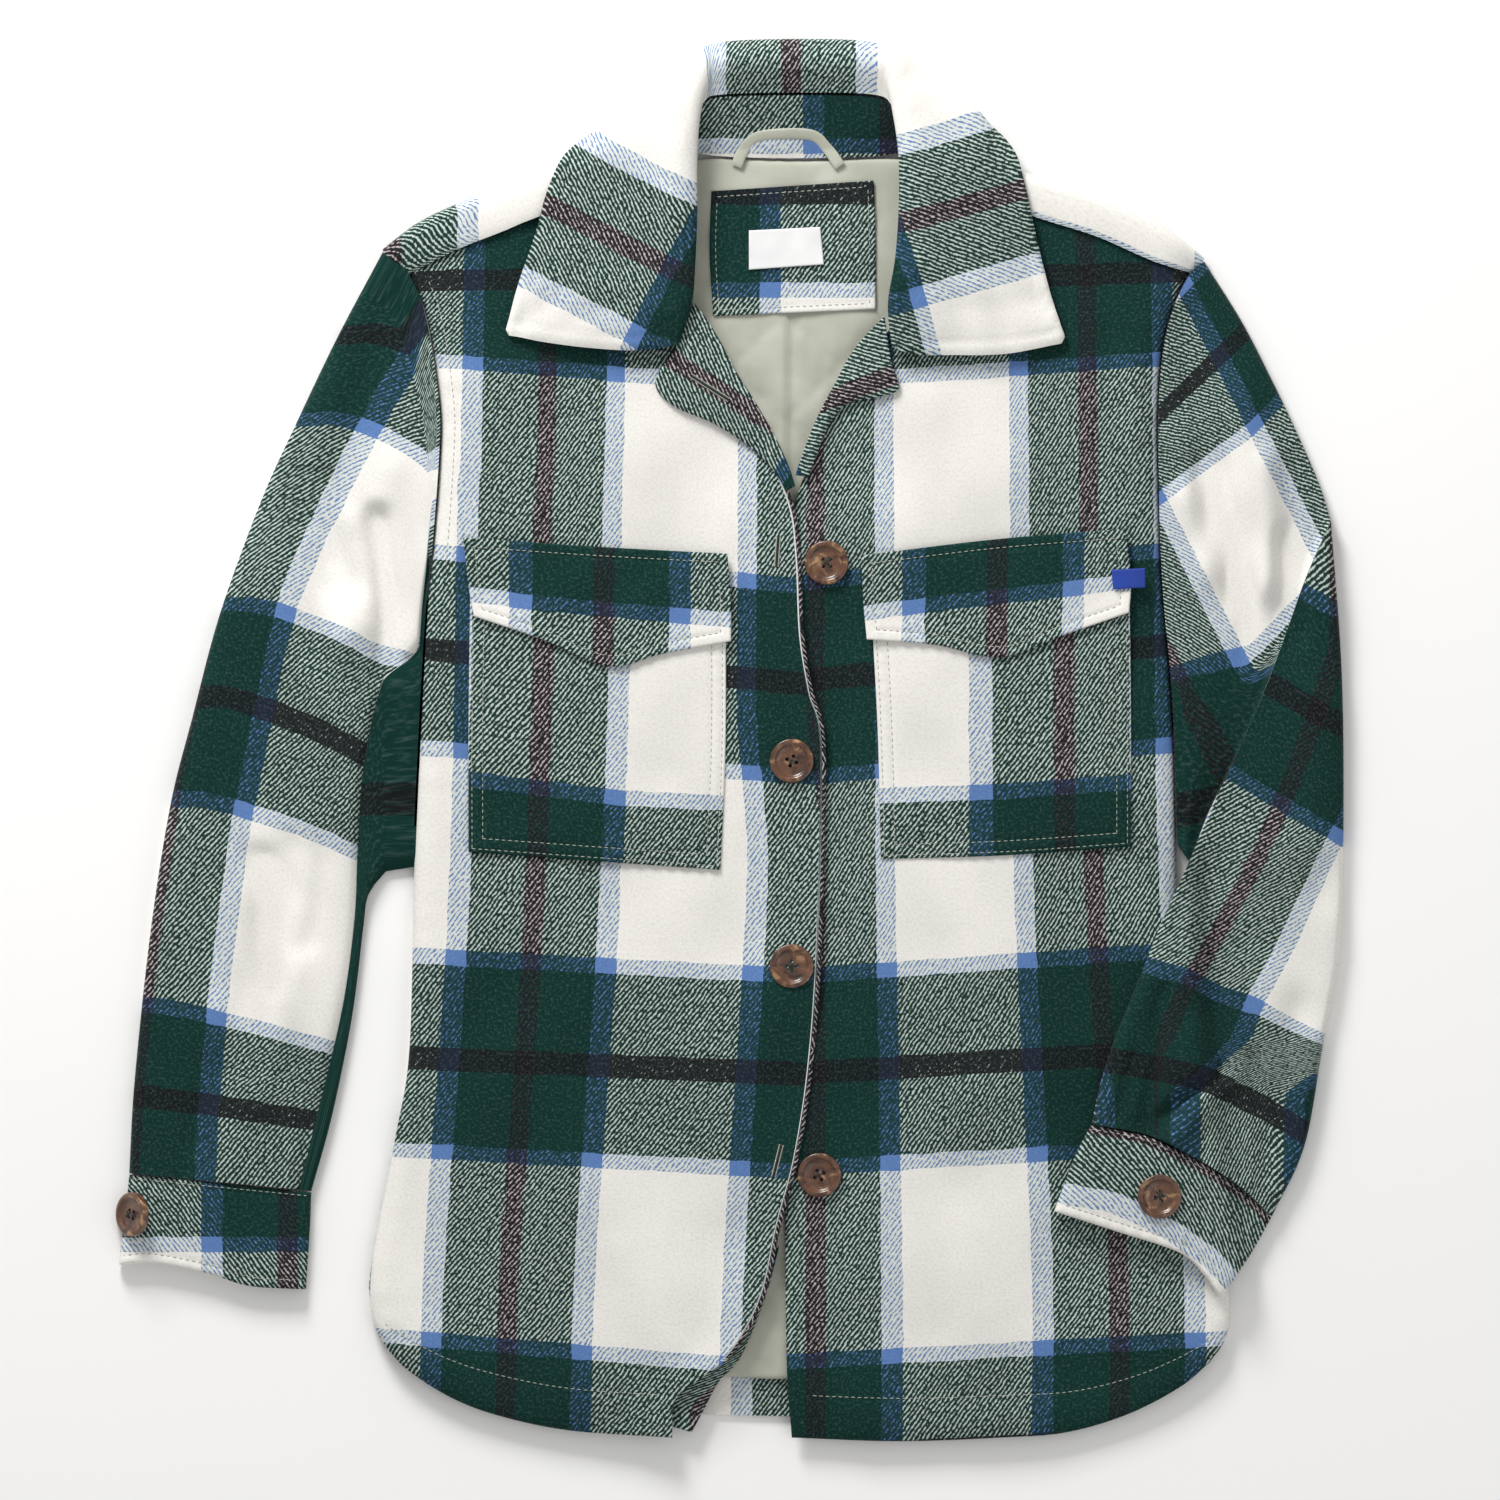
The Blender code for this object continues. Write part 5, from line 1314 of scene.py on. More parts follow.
    def lining(self) -> None:
        """The back's quilted lining: diamonds sewn through thin wadding, with a pleat at the centre."""
        us, vs = shares_of(420, 2.6), shares_of(640, 2.8)
        rails = {"low": LINING_HEM, "high": LINING_TOP_EDGE, "left": LINING_RIGHT, "right": LINING_LEFT}
        plan = rail_patch(rails, us, vs)
        x, y = plan[..., 0], plan[..., 1]
        turn = math.pi / QUILT_PITCH
        puff = np.abs(np.cos((x + y) * turn) * np.cos((x - y) * turn)) ** 0.35
        pull = 0.4 * np.sin(x / 2.1 + y / 3.7) * np.sin(y / 2.4 - x / 5.1) * (1 - puff)
        pull = pull + waves(x, y, 61, 34, 0.35)
        pleat = 1.5 * np.exp(-(((x - 31) / 13) ** 2)) * smooth((31.6 - x) / 1.2)
        pleat = (pleat - 0.7 * np.exp(-(((x - 34) / 3) ** 2))) * smooth((y - 60) / 60)
        pleat = (pleat + pull - 0.6 * (1 - puff) ** 2) * smooth((248 - y) / 10)
        top = LINING_TOP + QUILT_PUFF * puff * rise(near_edge(plan, "du"), 10) + pleat
        laid(
            "back_lining", plan, top, LINING_WALL, plan, self.finishes, "lining_cloth", LINING_UNDER,
        )

    def front(self, name: str, rails: Rails, top: Callable, uv: Callable, right: bool) -> None:
        """A front, which comes down to the back along its side and its hem.

        Args:
            name: The piece.
            rails: Its four edges.
            top: Its height away from its edges.
            uv: The cloth's own place.
            right: Whether it is the wearer's right front, whose lower corner curls up.
        """
        us, vs = shares_of(245, self.step), shares_of(690, self.step)
        plan = rail_patch(rails, us, vs)
        x, y = plan[..., 0], plan[..., 1]
        from_side = reach_along(plan, 1, not right)
        from_edge = reach_along(plan, 1, right)
        from_hem, from_top = reach_along(plan, 0), reach_along(plan, 0, True)
        corner = smooth(1 - from_edge / 80) * float(right)
        share = rise(from_side, SIDE_ROUND)
        share = share * (0.35 + 0.65 * np.maximum(rise(from_hem, HEM_ROUND), corner))
        height = EDGE_TOP + (top(x, y) - EDGE_TOP) * share
        calm = rise(np.minimum(from_side, from_hem), 40)
        relief = 1.5 * fold_height(FINE_FOLDS, x, y) + waves(x, y, 3 + right, 95, 0.7)
        relief = relief + waves(x, y, 13 + right, 34, 0.18) * smooth((110 - from_hem) / 80)
        relief = relief + pucker(x, np.abs(from_hem - self.hem_row), 1, 0.34, 11)
        relief = relief + groove(from_hem, self.hem_row, 0.6, 1.8)
        relief = relief + pucker(y, np.abs(from_side - 3), 2, 0.45, 15)
        relief = relief + groove(from_side, self.armhole_row, 0.6, 1.8) * smooth((y - 95) / 12)
        relief = relief + groove(from_edge, 6, 0.3) * smooth((from_top - 190) / 20)
        relief = relief + pucker(x, from_top, 5, 0.3, 12)
        height = np.maximum(height + relief * calm.clip(0.35, 1), EDGE_TOP - 1.2)
        places = uv(x, y)
        if right:
            swing = 62 + np.abs(from_hem % 160 - 80)
            piped = (from_edge < self.piping) & (from_top > 120) & (from_hem > 60)
            places[piped] = np.stack([from_edge - 3, swing], -1)[piped]
        outer = laid(
            name, plan, height, self.wall, places, self.finishes, low=LINING_TOP - 2.2,
        )
        lines = [("d", self.hem_row, 14, 12)]
        if right:
            lines.append(("l", self.armhole_row, 452, 6))
        self.sewing.rows(name, outer, lines)
        if right:
            self.sewing.buttonhole("buttonhole_top", outer, (26, 107), 86, 16)
            self.sewing.buttonhole("buttonhole_low", outer, (26, -234), 76, 18)

    def lapel(self, name: str, left: Rail, right: Rail, top: Callable, roll_last: bool) -> None:
        """A facing that lies turned out on its front, a little raised along its roll."""
        us, vs = shares_of(42, 1.7, (0.4, 0.9, 1.6, 2.6)), shares_of(140, 1.9)
        rails = {
            "low": [left[0], right[0]], "high": [left[-1], right[-1]], "left": left, "right": right,
        }
        plan = rail_patch(rails, us, vs)
        from_roll = us if roll_last else 1 - us
        arch = LAPEL_ARCH * np.sin(np.clip(from_roll * 1.2, 0, 1) * math.pi * 0.75)
        lie = top(plan[..., 0], plan[..., 1]) + 0.6 + FACING_WALL
        height = lie + arch[None] * np.sin(vs * math.pi * 0.6 + 0.3)[:, None]
        along = reach_along(plan, 0)
        free = reach_along(plan, 1, not roll_last)
        height = height + groove(free, 6, 0.5) + pucker(along, free, 3, 0.3, 8)
        x, y = plan[..., 0], plan[..., 1]
        if roll_last:
            u = -0.59 * (x + 10) - 0.92 * (y - 200.3)
            uv = np.stack([u, 106 + 0.84 * (x + 10) - 0.54 * (y - 200.3)], -1)
        else:
            u = 0.37 * (x - 74) - 0.93 * (y - 200)
            uv = np.stack([u, 109 + 0.93 * (x - 74) + 0.37 * (y - 200)], -1)
        outer = laid(name, plan, height, FACING_WALL, uv, self.finishes)
        if roll_last:
            self.sewing.buttonhole("buttonhole_lapel", outer, (-12, 199), -33, 25)

    def facing(self) -> None:
        """The strip of facing that shows beside the right front's curled lower corner."""
        vs = shares_of(125, 2.4)
        edge = by_length(EDGE_RIGHT, 0.01 + 0.155 * vs) - np.array([FACING_TUCK, 0])
        outer = by_length(FACING_OUTER, vs)
        across = shares_of(24, 1.6, (0.4, 0.9, 1.6, 2.6))[None, :, None]
        plan = edge[:, None] * (1 - across) + outer[:, None] * across
        rest = LINING_TOP + QUILT_PUFF + LAYER_GAP + FACING_WALL - 0.9
        uv = np.stack([reach_along(plan, 1) - 20, 60 + reach_along(plan, 0)], -1)
        laid(
            "facing_right", plan, rest + waves(plan[..., 0], plan[..., 1], 8, 24, 0.12),
            FACING_WALL - 0.9, uv, self.finishes,
        )

    def build(self) -> None:
        """Builds every piece of the body."""
        right = {"low": HEM_RIGHT, "high": SHOULDER_RIGHT, "left": SIDE_RIGHT, "right": EDGE_RIGHT}
        left = {"low": HEM_LEFT, "high": SHOULDER_LEFT, "left": EDGE_LEFT, "right": SIDE_LEFT}
        self.back()
        self.lining()
        self.front("front_right", right, right_top, self.right_uv, True)
        self.front("front_left", left, left_top, self.left_uv, False)
        self.lapel("lapel_right", LAPEL_RIGHT_FREE, LAPEL_RIGHT_ROLL, right_top, True)
        self.lapel("lapel_left", LAPEL_LEFT_ROLL, LAPEL_LEFT_FREE, left_top, False)
        self.facing()


@dataclass
class Tubes:
    """The sleeves and cuffs, as flattened tubes that are open at both ends."""

    finishes: Finishes
    sewing: Sewing
    step: float = 3.0
    wall: float = 1.7
    fold_round: float = 2.6
    placket: float = 73.0
    cuff_row: float = 5.0
    armhole_right: Rail = (
        (-195.2, 274.4), (-188, 268.2), (-180.6, 262.4), (-170.8, 237), (-163.6, 190), (-163.6, 160),
        (-167.6, 104),
    )
    armhole_left: Rail = (
        (250, -57), (247.6, 20), (242.2, 80), (239.9, 130), (239.6, 190), (242.6, 223), (248.6, 246),
        (257.8, 263.8), (265, 269.6),
    )
    forearm_line: Rail = (
        (238, -230), (240.5, -190), (244.4, -162), (253.1, -140.7), (260.8, -127.2), (270.4, -110.8),
        (278.1, -96.3), (294.5, -65.5), (317, -13), (341, 55.4),
    )

    def tube(
        self, name: str, plan: Grid, top: Grid, uv: Grid, support: Callable | None = None,
    ) -> Grid:
        """Builds a flattened tube whose rows cross it from edge to edge.

        Args:
            name: The piece.
            plan: Its places, row by row.
            top: Its height over what carries it.
            uv: The cloth's own place on its upper side.
            support: Height of what carries it, or nothing for the floor.

        Returns:
            Its upper side.
        """
        near = near_edge(plan, "lr")
        columns = plan.shape[1]
        bend = rise(near, self.fold_round)
        half_low = LOW_HEIGHT / 2
        back = list(range(columns - 2, 0, -1))
        middle = (plan[:, :1] + plan[:, -1:]) / 2
        half = np.linalg.norm(plan[:, :1] - plan[:, -1:], axis=2, keepdims=True) / 2
        rings = []
        for inset, skin in ((0.0, 0.0), (self.wall, self.wall)):
            place = middle + (plan - middle) * (1 - inset / half)
            floor = np.zeros(place.shape[:2])
            if support is not None:
                floor = support(place[..., 0], place[..., 1])
            upper = half_low + (top - half_low - skin) * bend
            lower = half_low - (half_low - skin) * bend
            upper = np.maximum(upper, lower + (0.2 if skin else 0.0) * bend)
            rings.append(np.concatenate([
                with_height(place, floor + upper), with_height(place[:, back], (floor + lower)[:, back]),
            ], axis=1))
        below = uv[:, back].copy()
        width = uv[:, -1:, 0] - uv[:, :1, 0]
        below[..., 0] = 2 * uv[:, -1:, 0] - below[..., 0]
        last = uv[:, :1].copy()
        last[..., 0] = uv[:, :1, 0] + 2 * width
        around = np.concatenate([uv, below, last], axis=1)
        area = cut_area(name, 2 * plan_area(plan))
        Cloth(name, *rings, around, self.finishes, area, layer=Layer.TUBE).build()
        return rings[0][:, :columns]

    def sleeve_right(self) -> None:
        """The right sleeve, straight, with the low layer of its underside beyond its fold."""
        us, vs = shares_of(105, self.step), shares_of(540, self.step, (1.0, 2.2))
        outer, fold, inner = (by_knot(SLEEVE_RIGHT_ROWS[key], vs) for key in ("outer", "fold", "inner"))
        close = smooth((fold[:, 1] - 34) / 22)
        fold[:, 0] += close * (x_at(SIDE_RIGHT, fold[:, 1]) - 3.0 - fold[:, 0])
        inner[:, 0] = np.maximum(inner[:, 0], fold[:, 0] + 1.2)
        armhole = by_length(self.armhole_right, us)
        armhole = armhole + (outer[-1] - armhole[0]) * (1 - us)[:, None]
        fold[-1] = armhole[-1]
        seam = by_length([tuple(outer[0]), tuple(fold[0])], us)
        upper = patch(seam, armhole, outer, fold, us, vs)
        low_us = np.array([0.004, 0.12, 0.3, 0.5, 0.7, 0.85, 0.94, 1])
        under = np.array([(x_at(SIDE_RIGHT, y) - 1.0, y) for y in np.linspace(armhole[-1, 1], -56, 12)])
        share = low_us[None, :, None]
        lower = fold[:, None] * (1 - share) + inner[:, None] * share
        lower[-1] = by_length([tuple(p) for p in under], low_us)
        plan = np.concatenate([upper, lower], axis=1)
        x, y = upper[..., 0], upper[..., 1]
        near = near_edge(upper, "lr")
        top = LOW_HEIGHT + (SLEEVE_HEIGHT - LOW_HEIGHT) * rise(near, TUBE_ROUND)
        relief = fold_height(RIGHT_SLEEVE_FOLDS, x, y) + 1.5 * fold_height(FINE_RIGHT_SLEEVE, x, y)
        relief = relief + waves(x, y, 21, 80, 0.7)
        along = reach_along(upper, 0)
        top = top + relief * rise(near, 20) + fold_height(ARMHOLE_FOLDS, x, y) * rise(near, 7)
        top = top + pucker(reach_along(upper, 1), along, 4, 0.5, 12) * rise(near, 12)
        top = top + pucker(reach_along(upper, 1), reach_along(upper, 0, True), 6, 0.4, 13) * rise(near, 12)
        top = top - 1.2 * smooth(1 - reach_along(upper, 1, True) / 6)
        height = np.concatenate([top, np.full(lower.shape[:2], LOW_HEIGHT)], axis=1)
        ys = upper[:, 0, 1]
        # v of each weft line, and its y at the sleeve's outer edge and at its fold.
        knots = np.array([
            (-436.8, -198, -211), (-382.9, -147, -172), (-272.3, -31, -62), (-218.4, 26, -7),
            (-164.5, 77, 46), (-53.9, 181, 133), (0, 228, 191), (30, 254, 220),
        ])
        v_outer = np.interp(ys, knots[:, 1], knots[:, 0])
        v_fold = np.interp(upper[:, -1, 1], knots[:, 2], knots[:, 0])
        v_outer += np.minimum(ys + 198, 0)
        v_fold += np.minimum(upper[:, -1, 1] + 211, 0)
        v = v_outer[:, None] + (v_fold - v_outer)[:, None] * us[None]
        across = np.linalg.norm(np.diff(upper, axis=1), axis=2)
        across = np.sqrt(np.maximum(across**2 - np.diff(v, axis=1) ** 2, (0.45 * across) ** 2))
        start = np.interp(ys, [-60, 45, 102, 160], [0, 5, 11, 11])[:, None]
        u = start + np.concatenate([np.zeros((len(upper), 1)), np.cumsum(across, 1)], axis=1)
        # The low layer's u and v are held in the check's green cells, crossed by the black weft stripe, so
        # that it shows dark: painted shade under the arm.
        low_uv = np.stack([
            8 + 27 * low_us + 0 * lower[..., 0], 44 * np.tanh((lower[..., 1] + 32) / 62),
        ], -1)
        uv = np.concatenate([np.stack([u, v], -1), low_uv], axis=1)
        self.tube("sleeve_right", plan, np.maximum(height, LOW_HEIGHT - 0.6), uv)

    def sleeve_left(self) -> None:
        """The left sleeve, bent: its forearm lies over the body's side and its own upper arm."""
        us = shares_of(120, self.step * 0.9)
        vs = np.concatenate([[0, 0.008, 0.02], np.linspace(0.04, 0.985, 72), [0.993, 1]])
        forearm = patch(
            by_length(CUFF_SEAM_LEFT, us), by_length(CREASE, us),
            by_length(FOREARM_INNER, vs), by_length(FOREARM_OUTER, vs), us, vs,
        )
        armhole = by_length(self.armhole_left, us)
        shares = np.concatenate([[0.004, 0.014, 0.03], np.linspace(0.05, 0.985, 60), [0.993, 1]])
        rails = [by_length([*rail[:-1], tuple(end)], shares) for rail, end in (
            (UPPER_INNER, armhole[0]), (UPPER_OUTER, armhole[-1]),
        )]
        upper = patch(by_length(CREASE, us), armhole, *rails, us, shares)
        plan = np.concatenate([forearm, upper])
        rows = np.concatenate([vs, 1 + shares])[:, None]
        x, y = plan[..., 0], plan[..., 1]
        top = FOREARM_HEIGHT + (CREASE_HEIGHT - FOREARM_HEIGHT) * smooth((rows - 0.6) / 0.35)
        beyond = LOW_HEIGHT + (SLEEVE_HEIGHT - LOW_HEIGHT) * smooth((rows - 1.05) / 0.5)
        lip = smooth((rows - 1) / 0.03)
        top = np.where(rows > 1, CREASE_HEIGHT + (beyond - CREASE_HEIGHT) * lip, top)
        top = top + fold_height(LEFT_SLEEVE_FOLDS, x, y) + 1.4 * fold_height(FINE_LEFT_SLEEVE, x, y)
        top = top + waves(x, y, 31, 70, 0.7)
        near = near_edge(plan, "lr")
        across = reach_along(plan, 1)
        top = top + pucker(across, reach_along(plan, 0), 9, 0.5, 12) * rise(near, 12)
        top = top + pucker(across, reach_along(plan, 0, True), 7, 0.4, 13) * rise(near, 12)
        top = LOW_HEIGHT + (top - LOW_HEIGHT) * rise(near, TUBE_ROUND)
        over = rows <= 1
        # The forearm's check, from its purple line, then the upper arm's, from its own slant.
        fore_u = x - x_at(self.forearm_line, y)
        wide = np.interp(y, [-127, -66, 0, 40], [1.0, 1.12, 1.0, 0.93])
        fore_u = fore_u * np.where(fore_u > 0, wide, 0.95)
        # Near the cuff the cloth is gathered, and its bands bow.
        # The first two knots hold the forearm's inner edge near the cuff at the edge of the blue, short of
        # the cream: painted shade on that edge.
        pleated = np.interp(
            x, [195, 204.9, 214.5, 236, 245, 264, 302, 315, 326],
            [-48.5, -48, -37, -12, 37, 49, 113, 125, 137],
        )
        gathered = smooth((-162 - y) / 38)
        fore_u = fore_u + (pleated - fore_u) * gathered
        bow = np.interp(x, [228, 240, 256, 275, 296, 325], [7.5, 5, 0.2, -0.5, -5.6, -4.4])
        low_bow = np.interp(x, [210, 240, 268, 297], [9.5, -2, -10, -12.4])
        bow = (bow + (low_bow - bow) * smooth((-150 - y) / 30)) * smooth((-50 - y) / 50)
        fore_v = 0.51 * x + 0.86 * y - 400.4 + bow
        up = -0.714 * x + 0.70 * y
        lean = (0.19 + 0.37 * np.clip((-78 - up) / 79, 0, 1)) * smooth((-30 - up) / 48)
        up = up - lean * np.maximum(290 - x, 0)
        upper_v = np.interp(
            up, [-272.6, -172.6, -85, -44.7, 30], [-262, -164.5, -53.9, 0, 95]
        )
        upper_u = 42.3 + (341.5 - 0.89 * x - 0.45 * y) * (83.4 / 67)
        # Deep under the arm, u is drawn into the green cells round the purple stripe, away from the cream
        # and blue: painted shade in the underarm.
        under_u = WARP_REPEAT + 34 * np.tanh((upper_u - WARP_REPEAT) / 60)
        upper_u = upper_u + (under_u - upper_u) * smooth((-180 - up) / 14)
        uv = np.stack([np.where(over, fore_u, upper_u), np.where(over, fore_v, upper_v)], -1)
        self.tube("sleeve_left", plan, np.maximum(top, LOW_HEIGHT - 0.6), uv, forearm_support)

    def cuffs(self) -> None:
        """Both cuffs: short tubes with a row of stitches round each edge."""
        for name, rails, support in (
            ("cuff_right", CUFF_RIGHT, None), ("cuff_left", CUFF_LEFT, forearm_support),
        ):
            us, vs = shares_of(104, 2.2), shares_of(52, 1.8)
            plan = rail_patch(rails, us, vs)
            x, y = plan[..., 0], plan[..., 1]
            near = near_edge(plan, "lr")
            top = LOW_HEIGHT + (CUFF_HEIGHT - LOW_HEIGHT) * rise(near, TUBE_ROUND)
            across, up = reach_along(plan, 1), reach_along(plan, 0)
            from_seam = reach_along(plan, 0, True)
            top = top + (groove(up, self.cuff_row, 0.5) + groove(from_seam, 4, 0.5)) * rise(near, 6)
            top = top + pucker(across, up, 11, 0.35, 9) + pucker(across, from_seam, 12, 0.3, 9)
            top = top - 1.0 * (1 - rise(np.minimum(up, from_seam), 2.4))
            if support is None:
                uv = np.stack([-x - 248, -BLUE_WEFT + (y + 281)], -1)
            else:
                past = across - self.placket
                uv = np.stack([from_seam + 1, 64 + across * 0.82 + 1.4 * (past > 0)], -1)
                top = top - 1.1 * smooth(past / 1.6) * rise(near, 8)
            upper = self.tube(name, plan, np.maximum(top, LOW_HEIGHT - 1.2), uv, support)
            self.sewing.rows(name, upper, [("d", self.cuff_row, 4, 4), ("u", 2.2, 4, 4)])

    def build(self) -> None:
        """Builds both sleeves and both cuffs."""
        self.sleeve_right()
        self.sleeve_left()
        self.cuffs()


@dataclass
class Collar:
    """The stand round the neck, and the fall that turns over it."""

    finishes: Finishes
    sewing: Sewing
    rows: int = 210
    wall: float = 2.2
    stitched: float = 6.5

    def sections(self, count: int) -> Grid:
        """The collar's sections, evenly along it, each of seven points."""
        rows = np.array(COLLAR, float)
        at = np.linspace(0, len(rows) - 1, count)
        return np.stack([curve(rows[:, k], at) for k in range(rows.shape[1])], axis=1)

    def stand(self) -> None:
        """The stand, from the neck seam to the fall's seam."""
        sections = self.sections(self.rows)
        neck, seam = sections[:, 0], sections[:, 1]
        across = seam - neck
        trim = 2.0 / np.linalg.norm(across, axis=1, keepdims=True)
        shares = shares_of(30, 1.8, (0.4, 1.0))
        stand = neck[:, None] + across[:, None] * (shares[None, :, None] * (1 - trim[:, None]))
        first = round(self.rows * 2 / 33)
        stand = stand[first:-first]
        along = reach_along(stand[..., :2], 0)
        up = reach_along(stand, 1)
        stand[..., 2] += pucker(along, up, 14, 0.3, 10) + waves(along, up, 15, 30, 0.2)
        u = stand[..., 0] - 88.2
        v = -BLUE_WEFT + (stand[..., 1] - 334.6)
        Cloth(
            "collar_stand", stand, offset_inside(stand, STAND_WALL * 0.75), np.stack([u, v], -1),
            self.finishes, sheet_area(stand),
        ).build()

    def fall(self) -> None:
        """The fall, which rolls over the stand and lies on the fronts in two leaves."""
        sections = self.sections(self.rows)
        fine = np.concatenate([
            [0, 0.02, 0.05], np.linspace(0.1, 4.9, 54), [4.94, 4.97, 4.985, 5],
        ])
        fall = np.stack([curve(section[1:], fine) for section in sections])
        x, y = fall[..., 0], fall[..., 1]
        worn = body_top(x, y) + COLLAR_WALL + 0.7
        on_leaf = (y < 318) & (fine[None, :] >= 1.8)
        from_edge = reach_along(fall, 1, True)
        along = reach_along(fall[:, :, :2], 0)
        ends = near_edge(fall, "du")
        fall[..., 2] = np.where(on_leaf, np.maximum(fall[..., 2], worn), fall[..., 2])
        shown = smooth((fine[None, :] - 1.6) / 0.6) * smooth((fall[..., 2] - 6) / 5)
        relief = groove(from_edge, self.stitched, 0.5) + groove(ends, self.stitched, 0.5)
        relief = relief + pucker(along, from_edge, 16, 0.3, 9) + waves(x, y, 17, 38, 0.45)
        drop = 0.9 * (1 - rise(np.minimum(from_edge, ends), 1.8))
        fall[..., 2] += (relief - drop) * shown
        fall[..., 2] = np.maximum(fall[..., 2], self.wall)
        under = offset_inside(fall, self.wall)
        under[..., 2] = np.maximum(under[..., 2], 0)
        leaf_right = 221.4 - 0.457 * x - 0.889 * y
        leaf_left = -0.27 * x + 0.963 * y - 590.3
        behind = -168 - (x - 34)
        roll = sections[:, 2, 1][:, None]
        at_back = smooth((roll - 345) / 25)
        side = sections[:, 2, 0][:, None] < 38
        u = np.where(side, leaf_right, leaf_left) * (1 - at_back) + behind * at_back
        v_right = -BLUE_WEFT + 0.889 * x - 0.457 * y + 152.5
        v_left = -BLUE_WEFT - (0.963 * x + 0.27 * y - 168.5)
        v_back = from_edge - 160
        v = np.where(side, v_right, v_left) * (1 - at_back) + v_back * at_back
        uv = np.stack([u, v], -1)
        Cloth("collar_fall", fall, under, uv, self.finishes, sheet_area(fall)).build()
        inset = self.stitched
        rows = [("r", inset, inset, inset), ("d", inset, 30, inset), ("u", inset, 30, inset)]
        self.sewing.rows("collar_fall", fall, rows, 12.5)

    def build(self) -> None:
        """Builds both pieces of the collar."""
        self.stand()
        self.fall()


@dataclass
class Pockets:
    """The chest pockets, their pointed flaps and the small tab at the left flap."""

    finishes: Finishes
    sewing: Sewing
    step: float = 2.4
    edge_row: float = 2.0
    pocket_row: float = 8.0
    flap_row: float = 6.0

    def piece(
        self, name: str, rails: Rails, top: Callable, lift: float, v: float, purple: Rail, weft: Rail
    ) -> None:
        """Builds a pocket or a flap.

        Args:
            name: The piece.
            rails: Its four edges.
            top: Height of the front that it is sewn on.
            lift: Height of its upper side over that front.
            v: The cloth's own v on its weft line.
            purple: The cloth's purple line.
            weft: The weft line.
        """
        flap = name.startswith("flap")
        width, length = CUTS[name][:2]
        tight = (0.5, 1.2, 2, 3, 4.2, 5.2, 6, 6.8, 8, 9)
        us, vs = shares_of(width, self.step, tight), shares_of(length, self.step, tight)
        plan = rail_patch(rails, us, vs)
        x, y = plan[..., 0], plan[..., 1]
        left, right = reach_along(plan, 1), reach_along(plan, 1, True)
        low, high = reach_along(plan, 0), reach_along(plan, 0, True)
        sewn = np.minimum(left, right)
        relief = waves(x, y, 41, 44, 0.3) * rise(np.minimum(sewn, low), 20)
        if flap:
            relief = relief + groove(np.minimum(sewn, low), self.flap_row, 0.5) + groove(high, 6, 0.45)
            relief = relief + pucker(x, low, 42, 0.35, 9) + 0.9 * smooth(1 - low / 16)
            relief = relief + pucker(x, high, 43, 0.25, 8)
        else:
            edge = np.minimum(sewn, low)
            relief = relief + groove(edge, self.edge_row, 0.5) + groove(edge, self.pocket_row, 0.45)
            relief = relief + pucker(y, sewn, 44, 0.3, 9) + pucker(x, low, 45, 0.3, 9)
            relief = relief + 0.6 * rise(edge, 30)
        u = x - x_at(purple, y)
        uv = np.stack([u * np.where(u < 0, 0.9, 1), v + y - np.interp(x, *np.transpose(weft))], -1)
        outer = laid(name, plan, top(x, y) + lift + relief, POCKET_WALL, uv, self.finishes)
        edge = self.edge_row
        lines = [("l", edge, edge, 20), ("d", edge, edge, edge), ("r", edge, edge, 20)]
        lines = [("u", 5, 4, 4)] if flap else lines
        inset = self.flap_row if flap else self.pocket_row
        lines += [("l", inset, inset, 4), ("d", inset, inset, inset), ("r", inset, inset, 4)]
        self.sewing.rows(name, outer, lines)

    def build(self) -> None:
        """Builds both pockets, both flaps and the tab."""
        pocket_lift = LAYER_GAP + POCKET_WALL
        flap_lift = pocket_lift + LAYER_GAP + POCKET_WALL
        for piece in (
            ("pocket_right", POCKET_RIGHT, right_top, pocket_lift, BLUE_WEFT,
             ((-108.6, -62), (-105.8, 24), (-104, 92)),
             ((-147, -21), (-135, -22.4), (-62, -31.4), (-3, -34.2))),
            ("pocket_left", POCKET_LEFT, left_top, pocket_lift, BLUE_WEFT,
             ((187, -62), (186.5, 20), (186, 92)),
             ((83, -30.2), (150, -28), (188, -25.2), (224, -22.4))),
            ("flap_right", FLAP_RIGHT, right_top, flap_lift, -BLUE_WEFT,
             ((-71.5, 40), (-71, 115)),
             ((-146, 83.4), (-107, 77.8), (-29, 71.1), (-1, 68.9))),
            ("flap_left", FLAP_LEFT, left_top, flap_lift, -BLUE_WEFT,
             ((148.5, 48), (149.5, 118)),
             ((75, 72.8), (103, 76.2), (190, 86.2), (212, 89))),
        ):
            self.piece(*piece)
        plan = rail_patch(POCKET_TAB, shares_of(18, 1.2, (0.3, 0.7)), shares_of(11, 1.2, (0.3, 0.7)))
        lie = BODY_TOP + 1 + 2 * POCKET_WALL + 0.5 + TRIM_WALL
        top = np.full(plan.shape[:2], lie)
        laid("pocket_tab", plan, top, TRIM_WALL, plan, self.finishes, "tab_cloth")


